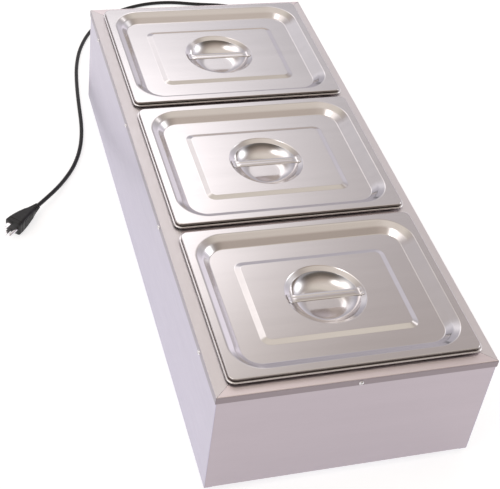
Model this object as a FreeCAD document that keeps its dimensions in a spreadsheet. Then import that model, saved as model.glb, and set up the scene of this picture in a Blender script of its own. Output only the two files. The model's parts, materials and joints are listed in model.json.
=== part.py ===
import FreeCAD, Part
import math
import os
from types import SimpleNamespace

import Sketcher

# Electric buffet server: a long stainless box that stands on rubber feet, with a heated water
# tank under a mitred top frame, three lift-out half-size pans across it, and their lids.
# X runs along the box, Y across it (front is -Y), Z is up, and the floor is Z = 0. The right
# end (+X) carries the thermostat knob, the rocker switch, the pilot lamp and the mains cord.

Vector = FreeCAD.Vector
Rotation = FreeCAD.Rotation

# ------------------------------------------------------------------ driving dimensions, mm
DIMENSIONS = dict(
    # the box and its folded sheet
    body_length=846.0, body_depth=360.0, body_height=170.0, sheet=1.0, skirt_height=10.5,
    bend_radius=1.2, panel_lip=10.0,
    # from the origin to the middle of the box: the knob counts in the overall length
    shell_offset=-8.0,
    # feet
    foot_height=12.0, foot_radius=15.0, foot_inset=45.0,
    # wells in the top frame
    pan_pitch=276.0, opening_length=245.0, opening_width=308.0, divider_drop=12.0, well_shift=-1.5,
    # half-size pans, 100 mm deep
    pan_rim_length=265.0, pan_rim_width=328.0, pan_rim_corner=11.0, pan_rim_height=5.0,
    pan_depth=100.0, pan_mouth_length=240.0, pan_mouth_width=300.0, pan_mouth_corner=42.0,
    pan_taper=13.0, pan_floor_bend=10.0, pan_sheet=0.8,
    # pressed lids: turned-down edge, sunk dish, raised plateau, ring and cup
    lid_length=260.0, lid_width=323.0, lid_corner=9.0, lid_edge_height=4.0, lid_sheet=0.8,
    dish_length=238.0, dish_width=301.0, dish_corner=42.0, dish_slope=17.0, dish_depth=11.3,
    plateau_length=133.0, plateau_width=193.0, plateau_corner=6.0, plateau_slope=7.5,
    plateau_height=2.0, ring_radius=53.4, ring_drop=4.0, cup_flat=21.4, cup_wall=25.0, cup_depth=15.0,
    # strap handle over the cup
    strap_width=14.5, strap_reach=50.5, strap_rise=0.4, strap_sheet=1.2,
    # water tank
    tank_length=806.0, tank_width=318.0, tank_corner=15.0, tank_floor=62.0, tank_bend=5.0,
    flange_gap=0.5, insulation_gap=1.5,
    # tubular heater lying above the tank floor
    heater_radius=4.0, heater_bend=10.0, heater_height=75.0, heater_half_width=60.0, heater_far=360.0,
    heater_leg=372.0, heater_end=40.0, pin_radius=1.5, pin_end=32.0, fitting_radius=6.9,
    fitting_flange=11.0, support_x=200.0,
    # controls on the right end panel
    control_height=40.0, knob_y=60.0, knob_radius=18.5, knob_reach=19.2, knob_gap=2.2,
    shaft_radius=3.0, shaft_clearance=0.06, dial_radius=26.0, dial_screw_radius=22.5,
    lamp_y=10.0, lamp_radius=5.0, switch_y=-40.0, rocker_tilt=10.0, rocker_axis_depth=4.0,
    rocker_pin_radius=1.2, rocker_pin_clearance=0.05,
    # mains cord, its strain relief and its plug
    cord_y=-120.0, cord_height=30.0, cord_radius=3.25, sleeve_length=35.0,
    plug_height=11.5, plug_heading=135.4, plug_length=62.0, plug_neck=22.0,
    blade_length=16.0, blade_spacing=12.7, earth_pin_length=19.0, earth_pin_radius=2.4,
    wire_radius=1.2,
    # fasteners
    rail_screw_drop=6.8, rail_screw_inner=114.0, rail_screw_outer=343.0, rail_screw_radius=1.5,
    rail_screw_head=2.8, hole_clearance=0.1, base_screw_radius=1.9, foot_screw_radius=2.0,
)

document = FreeCAD.newDocument("BuffetServer")
sheet = document.addObject("Spreadsheet::Sheet", "Dims")
for row, (alias, amount) in enumerate(DIMENSIONS.items(), start=1):
    sheet.set(f"A{row}", alias)
    sheet.set(f"B{row}", str(amount))
    sheet.setAlias(f"B{row}", alias)
document.recompute()


# ------------------------------------------------------------------ sizes tied to the sheet
class Size:
    """A length that knows its number and the sheet expression that gives it."""

    def __init__(self, text, number):
        self.text = text
        self.number = number

    def joined(self, sign, other, number):
        return Size(f"({self.text} {sign} {text_of(other)})", number)

    def __add__(self, other):
        return self.joined("+", other, self.number + number_of(other))

    def __sub__(self, other):
        return self.joined("-", other, self.number - number_of(other))

    def __mul__(self, other):
        return self.joined("*", other, self.number * number_of(other))

    def __truediv__(self, other):
        return self.joined("/", other, self.number / number_of(other))

    def __rsub__(self, other):
        return Size(f"({text_of(other)} - {self.text})", number_of(other) - self.number)

    def __neg__(self):
        return self * -1

    __radd__ = __add__
    __rmul__ = __mul__


def text_of(size):
    return size.text if isinstance(size, Size) else f"({size})"


def number_of(size):
    return size.number if isinstance(size, Size) else size


D = SimpleNamespace(**{name: Size(f"Dims.{name}", float(sheet.get(name))) for name in DIMENSIONS})

TOP = D.foot_height + D.body_height            # upper face of the top frame
HALF_LENGTH = D.body_length / 2
HALF_DEPTH = D.body_depth / 2
WALL_X = HALF_LENGTH - D.sheet                 # outer faces of the panels
WALL_Y = HALF_DEPTH - D.sheet
INSIDE_X = WALL_X - D.sheet                    # inner faces of the panels
INSIDE_Y = WALL_Y - D.sheet
OPENING_X = D.pan_pitch + D.opening_length / 2  # inner edges of the top frame
OPENING_Y = D.opening_width / 2
BASE_TOP = D.foot_height + D.sheet * 2
LID_SEAT = TOP + D.pan_rim_height
LID_TOP = LID_SEAT + D.lid_edge_height
DISH_FLOOR = LID_TOP - D.dish_depth
PLATEAU_TOP = DISH_FLOOR + D.plateau_height
CUP_RIM = PLATEAU_TOP - D.ring_drop
CUP_MOUTH = D.cup_flat + D.cup_wall
SCREW_HEIGHT = TOP - D.rail_screw_drop

DIRECTIONS = {
    "+z": Rotation(),
    "-z": Rotation(Vector(1, 0, 0), 180),
    "+x": Rotation(Vector(0, 1, 0), 90),
    "-x": Rotation(Vector(0, 1, 0), -90),
    "+y": Rotation(Vector(1, 0, 0), -90),
    "-y": Rotation(Vector(1, 0, 0), 90),
}

NODES = []


def node(made, label):
    """Registers a finished piece under its own name."""
    made.Label = label
    NODES.append(made)
    return made


def place(made, x=0, y=0, z=0, rotation=Rotation()):
    """Places a piece from the middle of the box's floor outline."""
    made.Placement = FreeCAD.Placement(Vector(), rotation)
    for axis, size in zip("xyz", (D.shell_offset + x, y, z)):
        made.setExpression(f"Placement.Base.{axis}", text_of(size))
    return made


# ------------------------------------------------------------------ sketches
def new_body(name, **position):
    return place(document.addObject("PartDesign::Body", name), **position)


def new_sketch(body, plane="XY_Plane", lift=0):
    sketch = body.newObject("Sketcher::SketchObject", f"{body.Name}_outline")
    support = next(item for item in body.Origin.OriginFeatures if item.Role == plane)
    sketch.AttachmentSupport = [(support, "")]
    sketch.MapMode = "FlatFace"
    sketch.setExpression("AttachmentOffset.Base.z", text_of(lift))
    return sketch


def dimension(sketch, kind, references, size):
    index = sketch.addConstraint(Sketcher.Constraint(kind, *references, float(number_of(size))))
    if isinstance(size, Size):
        sketch.setExpression(f"Constraints[{index}]", size.text)


def arc_between(start, end, radius, turn):
    """The short arc from start to end that turns left (+1) or right (-1)."""
    chord = end - start
    left = Vector(-chord.y, chord.x, 0).normalize()
    height = math.sqrt(radius ** 2 - (chord.Length / 2) ** 2)
    centre = (start + end) / 2 + left * height * turn
    first, last = (start, end) if turn > 0 else (end, start)
    begin = math.atan2(first.y - centre.y, first.x - centre.x)
    finish = math.atan2(last.y - centre.y, last.x - centre.x)
    if finish < begin:
        finish += 2 * math.pi
    return Part.ArcOfCircle(Part.Circle(centre, Vector(0, 0, 1), radius), begin, finish)


def outline(sketch, points, arcs=None):
    """A closed loop through points; arcs maps an edge's number to its (radius, turn)."""
    arcs = arcs or {}
    edges = []
    for index, point in enumerate(points):
        following = points[(index + 1) % len(points)]
        start = Vector(*[number_of(size) for size in point], 0)
        end = Vector(*[number_of(size) for size in following], 0)
        first, last = 1, 2
        if index in arcs:
            radius, turn = arcs[index]
            edge = sketch.addGeometry(arc_between(start, end, number_of(radius), turn))
            dimension(sketch, "Radius", (edge,), radius)
            if turn < 0:
                first, last = 2, 1
        else:
            edge = sketch.addGeometry(Part.LineSegment(start, end))
        edges.append((edge, first, last))
    for index, (edge, first, last) in enumerate(edges):
        following, following_first, _ = edges[(index + 1) % len(edges)]
        joint = Sketcher.Constraint("Coincident", edge, last, following, following_first)
        sketch.addConstraint(joint)
        dimension(sketch, "DistanceX", (-1, 1, edge, first), points[index][0])
        dimension(sketch, "DistanceY", (-1, 1, edge, first), points[index][1])
    return sketch


def rectangle(sketch, x_range, y_range):
    (left, right), (near, far) = x_range, y_range
    return outline(sketch, [(left, near), (right, near), (right, far), (left, far)])


def rounded_rectangle(body, lift, length, width, corner):
    """A sketch of a centred rectangle with round corners, at height lift."""
    side, end = length / 2, width / 2
    points = [
        (side - corner, -end), (side, corner - end), (side, end - corner), (side - corner, end),
        (corner - side, end), (-side, end - corner), (-side, corner - end), (corner - side, -end),
    ]
    return outline(new_sketch(body, lift=lift), points, {edge: (corner, 1) for edge in (0, 2, 4, 6)})


# ------------------------------------------------------------------ features
def feature(body, kind, profile):
    made = body.newObject(f"PartDesign::{kind}", f"{body.Name}_{kind}")
    made.Profile = profile
    return made


def pad(body, profile, length, midplane=False):
    made = feature(body, "Pad", profile)
    made.setExpression("Length", text_of(length))
    made.Midplane = midplane
    return made


def pocket(body, profile, depth, upward=True):
    made = feature(body, "Pocket", profile)
    made.setExpression("Length", text_of(depth))
    made.Reversed = upward
    return made


def block(body, x_range, y_range, z_range):
    """Adds a box between two corners."""
    low, high = z_range
    return pad(body, rectangle(new_sketch(body, lift=low), x_range, y_range), high - low)


def hollow(body, x_range, y_range, z_range):
    """Cuts a box between two corners."""
    low, high = z_range
    return pocket(body, rectangle(new_sketch(body, lift=low), x_range, y_range), high - low)


def drill(body, plane, centres, radius):
    """Round holes right through the body, square to an origin plane."""
    sketch = new_sketch(body, plane)
    for across, up in centres:
        middle = Vector(number_of(across), number_of(up), 0)
        circle = sketch.addGeometry(Part.Circle(middle, Vector(0, 0, 1), number_of(radius)))
        dimension(sketch, "Radius", (circle,), radius)
        dimension(sketch, "DistanceX", (-1, 1, circle, 3), across)
        dimension(sketch, "DistanceY", (-1, 1, circle, 3), up)
    made = feature(body, "Pocket", sketch)
    made.Type = "ThroughAll"
    made.Midplane = True
    return made


def loft(body, kind, lower, upper):
    made = feature(body, kind, lower)
    made.Sections = [upper]
    made.Ruled = True
    return made


def turned(body, points, arcs=None):
    """Revolves an outline of (radius, height) points about the body's Z axis."""
    sketch = outline(new_sketch(body, "XZ_Plane"), points, arcs)
    made = feature(body, "Revolution", sketch)
    made.ReferenceAxis = (sketch, ["V_Axis"])
    made.Angle = 360
    return made


def turned_piece(name, points, direction="+z", arcs=None, **position):
    made = new_body(name, rotation=DIRECTIONS[direction], **position)
    turned(made, points, arcs)
    return made


def round_edges(body, radius, wanted):
    """Rounds the edges of the body so far that the test wanted picks."""
    document.recompute()
    base = body.Tip
    names = [f"Edge{index}" for index, edge in enumerate(base.Shape.Edges, start=1) if wanted(edge)]
    made = body.newObject("PartDesign::Fillet", f"{body.Name}_Fillet")
    made.Base = (base, names)
    made.setExpression("Radius", text_of(radius))
    return made


def group(name, pieces):
    """One node of separate identical solids."""
    made = document.addObject("Part::Compound", name)
    made.Links = pieces
    return node(made, name)


def lies_at(edge, height, tolerance=0.01):
    return all(abs(vertex.Z - height.number) < tolerance for vertex in edge.Vertexes)


# ------------------------------------------------------------------ tubes: straight runs and arcs
def tube_path(points, bends):
    """A wire of straight runs joined by tangent arcs, and the radius of each arc.

    bends gives the radius of an arc by its number; any other arc is as wide as its runs allow.
    """
    edges, radii = [], []
    position = points[0]
    for index, (before, corner, after) in enumerate(zip(points, points[1:], points[2:])):
        inward = (corner - before).normalize()
        outward = (after - corner).normalize()
        half_turn = inward.getAngle(outward) / 2
        widest = 0.45 * min((corner - before).Length, (after - corner).Length) / math.tan(half_turn)
        radius = bends.get(index, widest)
        reach = radius * math.tan(half_turn)
        start, end = corner - inward * reach, corner + outward * reach
        bisector = (outward - inward).normalize()
        centre = corner + bisector * (radius / math.cos(half_turn))
        middle = centre - bisector * radius
        edges.append(Part.LineSegment(position, start).toShape())
        edges.append(Part.Arc(start, middle, end).toShape())
        radii.append(radius)
        position = end
    edges.append(Part.LineSegment(position, points[-1]).toShape())
    return Part.Wire(edges), radii


def tube(points, radius, bends=None):
    """A solid round tube along a route; its volume has to match its section and length."""
    path, radii = tube_path(points, bends or {})
    start = Part.Circle(points[0], points[1] - points[0], radius)
    solid = path.makePipeShell([Part.Wire(start.toShape())], True, False)
    expected = math.pi * radius ** 2 * path.Length
    if abs(solid.Volume / expected - 1) > 0.01:
        raise RuntimeError(f"tube volume {solid.Volume:.0f}, expected {expected:.0f}")
    return solid, path.Length, radii


def shaped(label, shape):
    """A piece whose shape is worked out here, placed with the box."""
    made = document.addObject("Part::Feature", label)
    made.Shape = shape
    return node(place(made), label)


def route(*points):
    return [Vector(*[number_of(size) for size in point]) for point in points]


# ------------------------------------------------------------------ the box
CORNERS = {"front": ((-1, -1), (1, -1)), "rear": ((1, 1), (-1, 1)),
           "left": ((-1, 1), (-1, -1)), "right": ((1, -1), (1, 1))}
LONG_SIDE_SCREWS = [-D.rail_screw_outer, -D.rail_screw_inner, D.rail_screw_inner, D.rail_screw_outer]
BASE_SCREWS = [(x, y) for x in (-300, 0, 300) for y in (-1, 1)]


def top_rail(name):
    """One strip of the top frame, mitred at both ends, with its turned-down skirt."""
    first, second = CORNERS[name]
    body = new_body(f"top_rail_{name}")
    points = [(HALF_LENGTH * x, HALF_DEPTH * y) for x, y in (first, second)]
    points += [(OPENING_X * x, OPENING_Y * y) for x, y in (second, first)]
    pad(body, outline(new_sketch(body, lift=TOP - D.skirt_height), points), D.skirt_height)
    inner = {"front": ((-HALF_LENGTH, HALF_LENGTH), (-WALL_Y, 0)),
             "rear": ((-HALF_LENGTH, HALF_LENGTH), (0, WALL_Y)),
             "left": ((-WALL_X, 0), (-HALF_DEPTH, HALF_DEPTH)),
             "right": ((0, WALL_X), (-HALF_DEPTH, HALF_DEPTH))}[name]
    hollow(body, *inner, (TOP - D.skirt_height, TOP - D.sheet))
    radius = D.rail_screw_radius + D.hole_clearance
    if name in ("front", "rear"):
        drill(body, "XZ_Plane", [(x, SCREW_HEIGHT) for x in LONG_SIDE_SCREWS], radius)
        edge_line, axis = HALF_DEPTH.number, "y"
    else:
        drill(body, "YZ_Plane", [(0, SCREW_HEIGHT)], radius)
        edge_line, axis = HALF_LENGTH.number, "x"
    round_edges(body, D.bend_radius, lambda edge: lies_at(edge, TOP) and all(
        abs(abs(getattr(vertex.Point, axis)) - edge_line) < 0.01 for vertex in edge.Vertexes))
    return node(body, body.Name)


def long_panel(label, side):
    """A long wall with a lip along its foot; side is -1 for the front, 1 for the rear."""
    body = new_body(label)
    faces = sorted((INSIDE_Y * side, WALL_Y * side), key=number_of)
    lip = sorted((INSIDE_Y * side, (INSIDE_Y - D.panel_lip) * side), key=number_of)
    block(body, (-WALL_X, WALL_X), faces, (D.foot_height, TOP - D.sheet))
    block(body, (-INSIDE_X, INSIDE_X), lip, (D.foot_height, D.foot_height + D.sheet))
    radius = D.rail_screw_radius + D.hole_clearance
    drill(body, "XZ_Plane", [(x, SCREW_HEIGHT) for x in LONG_SIDE_SCREWS], radius)
    lip_middle = INSIDE_Y - D.panel_lip / 2
    centres = [(x, lip_middle * y) for x, y in BASE_SCREWS if y == side]
    drill(body, "XY_Plane", centres, D.base_screw_radius + D.hole_clearance)
    return node(body, label)


def end_panel(label, side):
    """A short wall between the long ones, with a lip and two corner tabs."""
    body = new_body(label)
    faces = sorted((INSIDE_X * side, WALL_X * side), key=number_of)
    inward = sorted((INSIDE_X * side, (INSIDE_X - D.panel_lip) * side), key=number_of)
    block(body, faces, (-INSIDE_Y, INSIDE_Y), (D.foot_height, TOP - D.sheet))
    lip_end = INSIDE_Y - D.panel_lip
    block(body, inward, (-lip_end, lip_end), (D.foot_height, D.foot_height + D.sheet))
    for tab in ((-INSIDE_Y, D.sheet - INSIDE_Y), (INSIDE_Y - D.sheet, INSIDE_Y)):
        block(body, inward, tab, (D.foot_height + D.sheet, TOP - D.sheet * 3))
    drill(body, "YZ_Plane", [(0, SCREW_HEIGHT)], D.rail_screw_radius + D.hole_clearance)
    return node(body, label)


def control_panel():
    """The right end wall, with the openings for the controls and the cord."""
    body = end_panel("right_end_panel", 1)
    drill(body, "YZ_Plane", [(D.knob_y, D.control_height)], D.shaft_radius + 1)
    dial_screws = [(D.knob_y + D.dial_screw_radius * side, D.control_height) for side in (-1, 1)]
    drill(body, "YZ_Plane", dial_screws, D.rail_screw_radius + D.hole_clearance)
    drill(body, "YZ_Plane", [(D.lamp_y, D.control_height)], D.lamp_radius)
    drill(body, "YZ_Plane", [(D.cord_y, D.cord_height)], GLAND_NECK + D.hole_clearance)
    width, height = SWITCH_WIDTH / 2 + D.hole_clearance, SWITCH_HEIGHT / 2 + D.hole_clearance
    hollow(body, (INSIDE_X, WALL_X), (D.switch_y - width, D.switch_y + width),
           (D.control_height - height, D.control_height + height))
    return body


def base_plate():
    """The bottom cover, resting on the panels' lips, with vent slots under the controls."""
    body = new_body("base_plate")
    reach_x = INSIDE_X - D.flange_gap
    reach_y = INSIDE_Y - D.sheet - D.flange_gap
    block(body, (-reach_x, reach_x), (-reach_y, reach_y), (D.foot_height + D.sheet, BASE_TOP))
    feet = [(x, y) for x in (-FOOT_X, FOOT_X) for y in (-FOOT_Y, FOOT_Y)]
    drill(body, "XY_Plane", feet, D.foot_screw_radius + D.hole_clearance)
    lip_middle = INSIDE_Y - D.panel_lip / 2
    screws = [(x, lip_middle * y) for x, y in BASE_SCREWS]
    drill(body, "XY_Plane", screws, D.base_screw_radius + D.hole_clearance)
    slots = [hollow(body, (x, x + 4), (-40, 40), (D.foot_height + D.sheet, BASE_TOP))
             for x in range(240, 330, 12)]
    return node(slots[-1].getParentGeoFeatureGroup(), "base_plate")


def divider_bar(label, side):
    """A channel between two wells, tabbed under the front and rear rails."""
    body = new_body(label, x=D.pan_pitch / 2 * side)
    half = (D.pan_pitch - D.opening_length) / 2
    block(body, (-half, half), (-OPENING_Y, OPENING_Y), (TOP - D.sheet, TOP))
    block(body, (-half, D.sheet - half), (-OPENING_Y, OPENING_Y), (TOP - D.divider_drop, TOP - D.sheet))
    block(body, (half - D.sheet, half), (-OPENING_Y, OPENING_Y), (TOP - D.divider_drop, TOP - D.sheet))
    for tab in ((-OPENING_Y - 4.5, 8 - OPENING_Y), (OPENING_Y - 8, OPENING_Y + 4.5)):
        block(body, (D.sheet - half, half - D.sheet), tab, (TOP - D.sheet * 2, TOP - D.sheet))
    return node(body, label)


FOOT_X = HALF_LENGTH - D.foot_inset
FOOT_Y = HALF_DEPTH - D.foot_inset
FOOT_TOP = D.foot_height + D.sheet
SEAT_HEIGHT = 5


def foot(label, x, y):
    """A rubber foot, sunk in the middle for its screw."""
    bore = D.foot_screw_radius + 0.2
    points = [(5.5, 0), (D.foot_radius, 0), (D.foot_radius - 2, FOOT_TOP), (bore, FOOT_TOP),
              (bore, SEAT_HEIGHT), (5.5, SEAT_HEIGHT)]
    return node(turned_piece(label, points, x=x, y=y), label)


def foot_screw(name, x, y):
    points = [(0, 2), (4.6, 2), (4.6, SEAT_HEIGHT), (D.foot_screw_radius, SEAT_HEIGHT),
              (D.foot_screw_radius, 20), (0, 20)]
    return turned_piece(name, points, x=x, y=y)


def foot_nut(name, x, y):
    bore = D.foot_screw_radius
    points = [(bore, BASE_TOP), (3.8, BASE_TOP), (3.8, BASE_TOP + 3.2), (bore, BASE_TOP + 3.2)]
    return turned_piece(name, points, x=x, y=y)


def pan_head_screw(name, shank, head, length, direction, **position):
    """A domed-head screw; its head's underside is at its own Z = 0."""
    edge, crown = 0.8, 2.2
    points = [(0, -length), (shank, -length), (shank, 0), (head, 0), (head, edge), (0, crown)]
    dome = (head * head + (crown - edge) ** 2) / (2 * (crown - edge))
    return turned_piece(name, points, direction, {4: (dome, 1)}, **position)


def rail_screws():
    """The screws that hold the top frame's skirt to the panels."""
    shank, head, length = D.rail_screw_radius, D.rail_screw_head, 7
    made = []
    for index, x in enumerate(LONG_SIDE_SCREWS):
        for side, direction in ((-1, "-y"), (1, "+y")):
            made.append(pan_head_screw(f"rail_screw_{direction[1:]}{index}{side + 1}", shank, head, length,
                                       direction, x=x, y=HALF_DEPTH * side, z=SCREW_HEIGHT))
    for side, direction in ((-1, "-x"), (1, "+x")):
        made.append(pan_head_screw(f"rail_screw_x{side + 1}", shank, head, length, direction,
                                   x=HALF_LENGTH * side, z=SCREW_HEIGHT))
    return group("rail_screws", made)


def base_screws():
    lip_middle = INSIDE_Y - D.panel_lip / 2
    made = [pan_head_screw(f"base_screw_{index}", D.base_screw_radius, 3.6, 6, "-z",
                           x=x, y=lip_middle * y, z=D.foot_height)
            for index, (x, y) in enumerate(BASE_SCREWS)]
    return group("base_screws", made)


# ------------------------------------------------------------------ tank and heater
def water_tank():
    """The open tub under the wells, hung by the flange round its mouth."""
    body = new_body("water_tank")
    floor_under = D.tank_floor - D.sheet
    outer = rounded_rectangle(body, floor_under, D.tank_length + D.sheet * 2, D.tank_width + D.sheet * 2,
                              D.tank_corner + D.sheet)
    pad(body, outer, TOP - D.sheet - floor_under)
    reach_x, reach_y = INSIDE_X - D.flange_gap, INSIDE_Y - D.flange_gap
    block(body, (-reach_x, reach_x), (-reach_y, reach_y), (TOP - D.sheet * 2, TOP - D.sheet))
    inner = rounded_rectangle(body, D.tank_floor, D.tank_length, D.tank_width, D.tank_corner)
    pocket(body, inner, TOP - D.sheet - D.tank_floor)
    round_edges(body, D.tank_bend, lambda edge: lies_at(edge, D.tank_floor))
    round_edges(body, D.tank_bend + D.sheet, lambda edge: lies_at(edge, floor_under))
    legs = [(D.heater_leg, D.heater_half_width * side) for side in (-1, 1)]
    drill(body, "XY_Plane", legs, D.fitting_radius + D.hole_clearance)
    return node(body, "water_tank")


def insulation():
    """Mineral wool slabs between the tank and the four walls."""
    low, high = D.tank_floor + 4, TOP - 10
    tank_x, tank_y = D.tank_length / 2 + D.sheet, D.tank_width / 2 + D.sheet
    gap = D.insulation_gap
    along = (tank_y, INSIDE_Y - D.sheet - gap)
    across = (tank_x, INSIDE_X - gap)
    made = []
    for side in (-1, 1):
        body = new_body(f"wool_long_{side + 1}")
        block(body, (-tank_x, tank_x), sorted((along[0] * side, along[1] * side), key=number_of), (low, high))
        made.append(body)
        body = new_body(f"wool_end_{side + 1}")
        reach = INSIDE_Y - 20
        block(body, sorted((across[0] * side, across[1] * side), key=number_of), (-reach, reach), (low, high))
        made.append(body)
    return group("insulation", made)


def heating_element():
    """A hairpin tube heater; both legs drop through the tank floor and end in a pin."""
    half, height = D.heater_half_width, D.heater_height
    points = route((D.heater_leg, -half, D.heater_end), (D.heater_leg, -half, height),
                   (-D.heater_far, -half, height), (-D.heater_far, half, height),
                   (D.heater_leg, half, height), (D.heater_leg, half, D.heater_end))
    bend = D.heater_bend.number
    solid, _, _ = tube(points, D.heater_radius.number, {0: bend, 3: bend})
    for leg in (points[0], points[-1]):
        foot_of_pin = Vector(leg.x, leg.y, D.pin_end.number)
        solid = solid.fuse(Part.makeCylinder(D.pin_radius.number, leg.z - D.pin_end.number, foot_of_pin))
    return shaped("heating_element", solid)


def heater_fittings():
    """Seals, bushes and nuts that make the element's two holes tight."""
    floor_under, bore = D.tank_floor - D.sheet, D.heater_radius + D.hole_clearance
    seal_top = D.tank_floor + 1.5
    shank, flange = D.fitting_radius, D.fitting_flange
    outlines = {
        "heater_seals": [(shank + 0.1, D.tank_floor), (flange, D.tank_floor), (flange, seal_top),
                         (shank + 0.1, seal_top)],
        "heater_bushes": [(bore, 48), (shank, 48), (shank, seal_top), (flange, seal_top),
                          (flange, seal_top + 1.5), (bore, seal_top + 1.5)],
        "heater_nuts": [(shank, floor_under - 6), (flange, floor_under - 6), (flange, floor_under),
                        (shank, floor_under)],
    }
    for name, points in outlines.items():
        group(name, [turned_piece(f"{name}_{side + 1}", points, x=D.heater_leg, y=D.heater_half_width * side)
                     for side in (-1, 1)])


def heater_supports():
    """Bridges that carry the element above the tank floor."""
    plate_top = D.heater_height - D.heater_radius
    reach = D.heater_half_width + 8
    made = []
    for side in (-1, 1):
        body = new_body(f"heater_support_{side + 1}", x=D.support_x * side)
        block(body, (-6, 6), (-reach, reach), (plate_top - D.sheet, plate_top))
        for leg in ((-reach, D.sheet - reach), (reach - D.sheet, reach)):
            block(body, (-6, 6), leg, (D.tank_floor, plate_top - D.sheet))
        made.append(body)
    return group("heater_supports", made)


# ------------------------------------------------------------------ pans and lids
def pan(label, position):
    """A half-size pan: flat rim with a turned-down edge, tapered walls, rounded floor."""
    body = new_body(label, x=position, y=D.well_shift)
    thin, rim_top = D.pan_sheet, TOP + D.pan_rim_height
    floor_under = rim_top - D.pan_depth
    rim = rounded_rectangle(body, TOP, D.pan_rim_length, D.pan_rim_width, D.pan_rim_corner)
    pad(body, rim, D.pan_rim_height)
    under = rounded_rectangle(body, TOP, D.pan_rim_length - thin * 2, D.pan_rim_width - thin * 2,
                              D.pan_rim_corner - thin)
    pocket(body, under, D.pan_rim_height - thin)

    def section(height, taper, skin):
        return rounded_rectangle(body, height, D.pan_mouth_length - taper * 2 + skin * 2,
                                 D.pan_mouth_width - taper * 2 + skin * 2, D.pan_mouth_corner - taper + skin)

    loft(body, "AdditiveLoft", section(floor_under, D.pan_taper, thin), section(rim_top, thin * 0, thin))
    loft(body, "SubtractiveLoft", section(floor_under + thin, D.pan_taper, thin * 0),
         section(rim_top, thin * 0, thin * 0))
    round_edges(body, D.pan_floor_bend, lambda edge: lies_at(edge, floor_under + thin))
    round_edges(body, D.pan_floor_bend + thin, lambda edge: lies_at(edge, floor_under))
    return node(body, label)


def lid(label, position):
    """A pressed lid: turned-down edge, sunk dish, raised plateau, ring and finger cup."""
    body = new_body(label, x=position, y=D.well_shift)
    thin = D.lid_sheet
    edge = rounded_rectangle(body, LID_SEAT, D.lid_length, D.lid_width, D.lid_corner)
    pad(body, edge, D.lid_edge_height)
    under = rounded_rectangle(body, LID_SEAT, D.lid_length - thin * 2, D.lid_width - thin * 2,
                              D.lid_corner - thin)
    pocket(body, under, D.lid_edge_height - thin)

    def dish(height, inset):
        return rounded_rectangle(body, height, D.dish_length - inset * 2, D.dish_width - inset * 2,
                                 D.dish_corner - inset)

    def plateau(height, spread):
        return rounded_rectangle(body, height, D.plateau_length + spread * 2, D.plateau_width + spread * 2,
                                 D.plateau_corner + spread)

    loft(body, "AdditiveLoft", dish(DISH_FLOOR - thin, D.dish_slope), dish(LID_TOP - thin, thin * 0))
    loft(body, "SubtractiveLoft", dish(DISH_FLOOR, D.dish_slope), dish(LID_TOP, thin * 0))
    loft(body, "AdditiveLoft", plateau(DISH_FLOOR, D.plateau_slope), plateau(PLATEAU_TOP, thin * 0))
    loft(body, "SubtractiveLoft", plateau(DISH_FLOOR - thin, D.plateau_slope),
         plateau(PLATEAU_TOP - thin, thin * 0))
    drill(body, "XY_Plane", [(0, 0)], D.ring_radius)
    floor, step = CUP_RIM - D.cup_depth, 0.9
    cup_bend, outer_bend = [(wall * wall + D.cup_depth * D.cup_depth) / (D.cup_depth * 2)
                            for wall in (D.cup_wall, D.cup_wall + thin)]
    points = [(D.ring_radius, PLATEAU_TOP - thin), (D.ring_radius, PLATEAU_TOP),
              (D.ring_radius - step, PLATEAU_TOP - step), (CUP_MOUTH, CUP_RIM), (D.cup_flat, floor), (0, floor),
              (0, floor - thin), (D.cup_flat, floor - thin), (CUP_MOUTH + thin, CUP_RIM - thin),
              (D.ring_radius - 0.2, PLATEAU_TOP - step - thin)]
    turned(body, points, {3: (cup_bend, -1), 7: (outer_bend, 1)})
    return node(body, label)


def lid_handle(label, position):
    """The strap that spans the cup, with its ends turned up on the sloping ring."""
    body = new_body(label, x=position, y=D.well_shift)
    reach, thick, low = D.strap_reach, D.strap_sheet, CUP_RIM + D.strap_rise
    end = low + D.ring_drop * (reach - CUP_MOUTH) / (D.ring_radius - CUP_MOUTH)
    points = [(-reach, end), (-CUP_MOUTH, low), (CUP_MOUTH, low), (reach, end), (reach, end + thick),
              (CUP_MOUTH, low + thick), (-CUP_MOUTH, low + thick), (-reach, end + thick)]
    pad(body, outline(new_sketch(body, "YZ_Plane"), points), D.strap_width, midplane=True)
    return node(body, label)


# ------------------------------------------------------------------ controls
SWITCH_WIDTH, SWITCH_HEIGHT, SWITCH_DEPTH = 21.0, 26.0, 22.0
GLAND_NECK = 7.0
SPADE_LENGTH = 8.0
THERMOSTAT_SIZE, THERMOSTAT_DEPTH, BULB_RADIUS = 34.0, 26.0, 3.5


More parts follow.
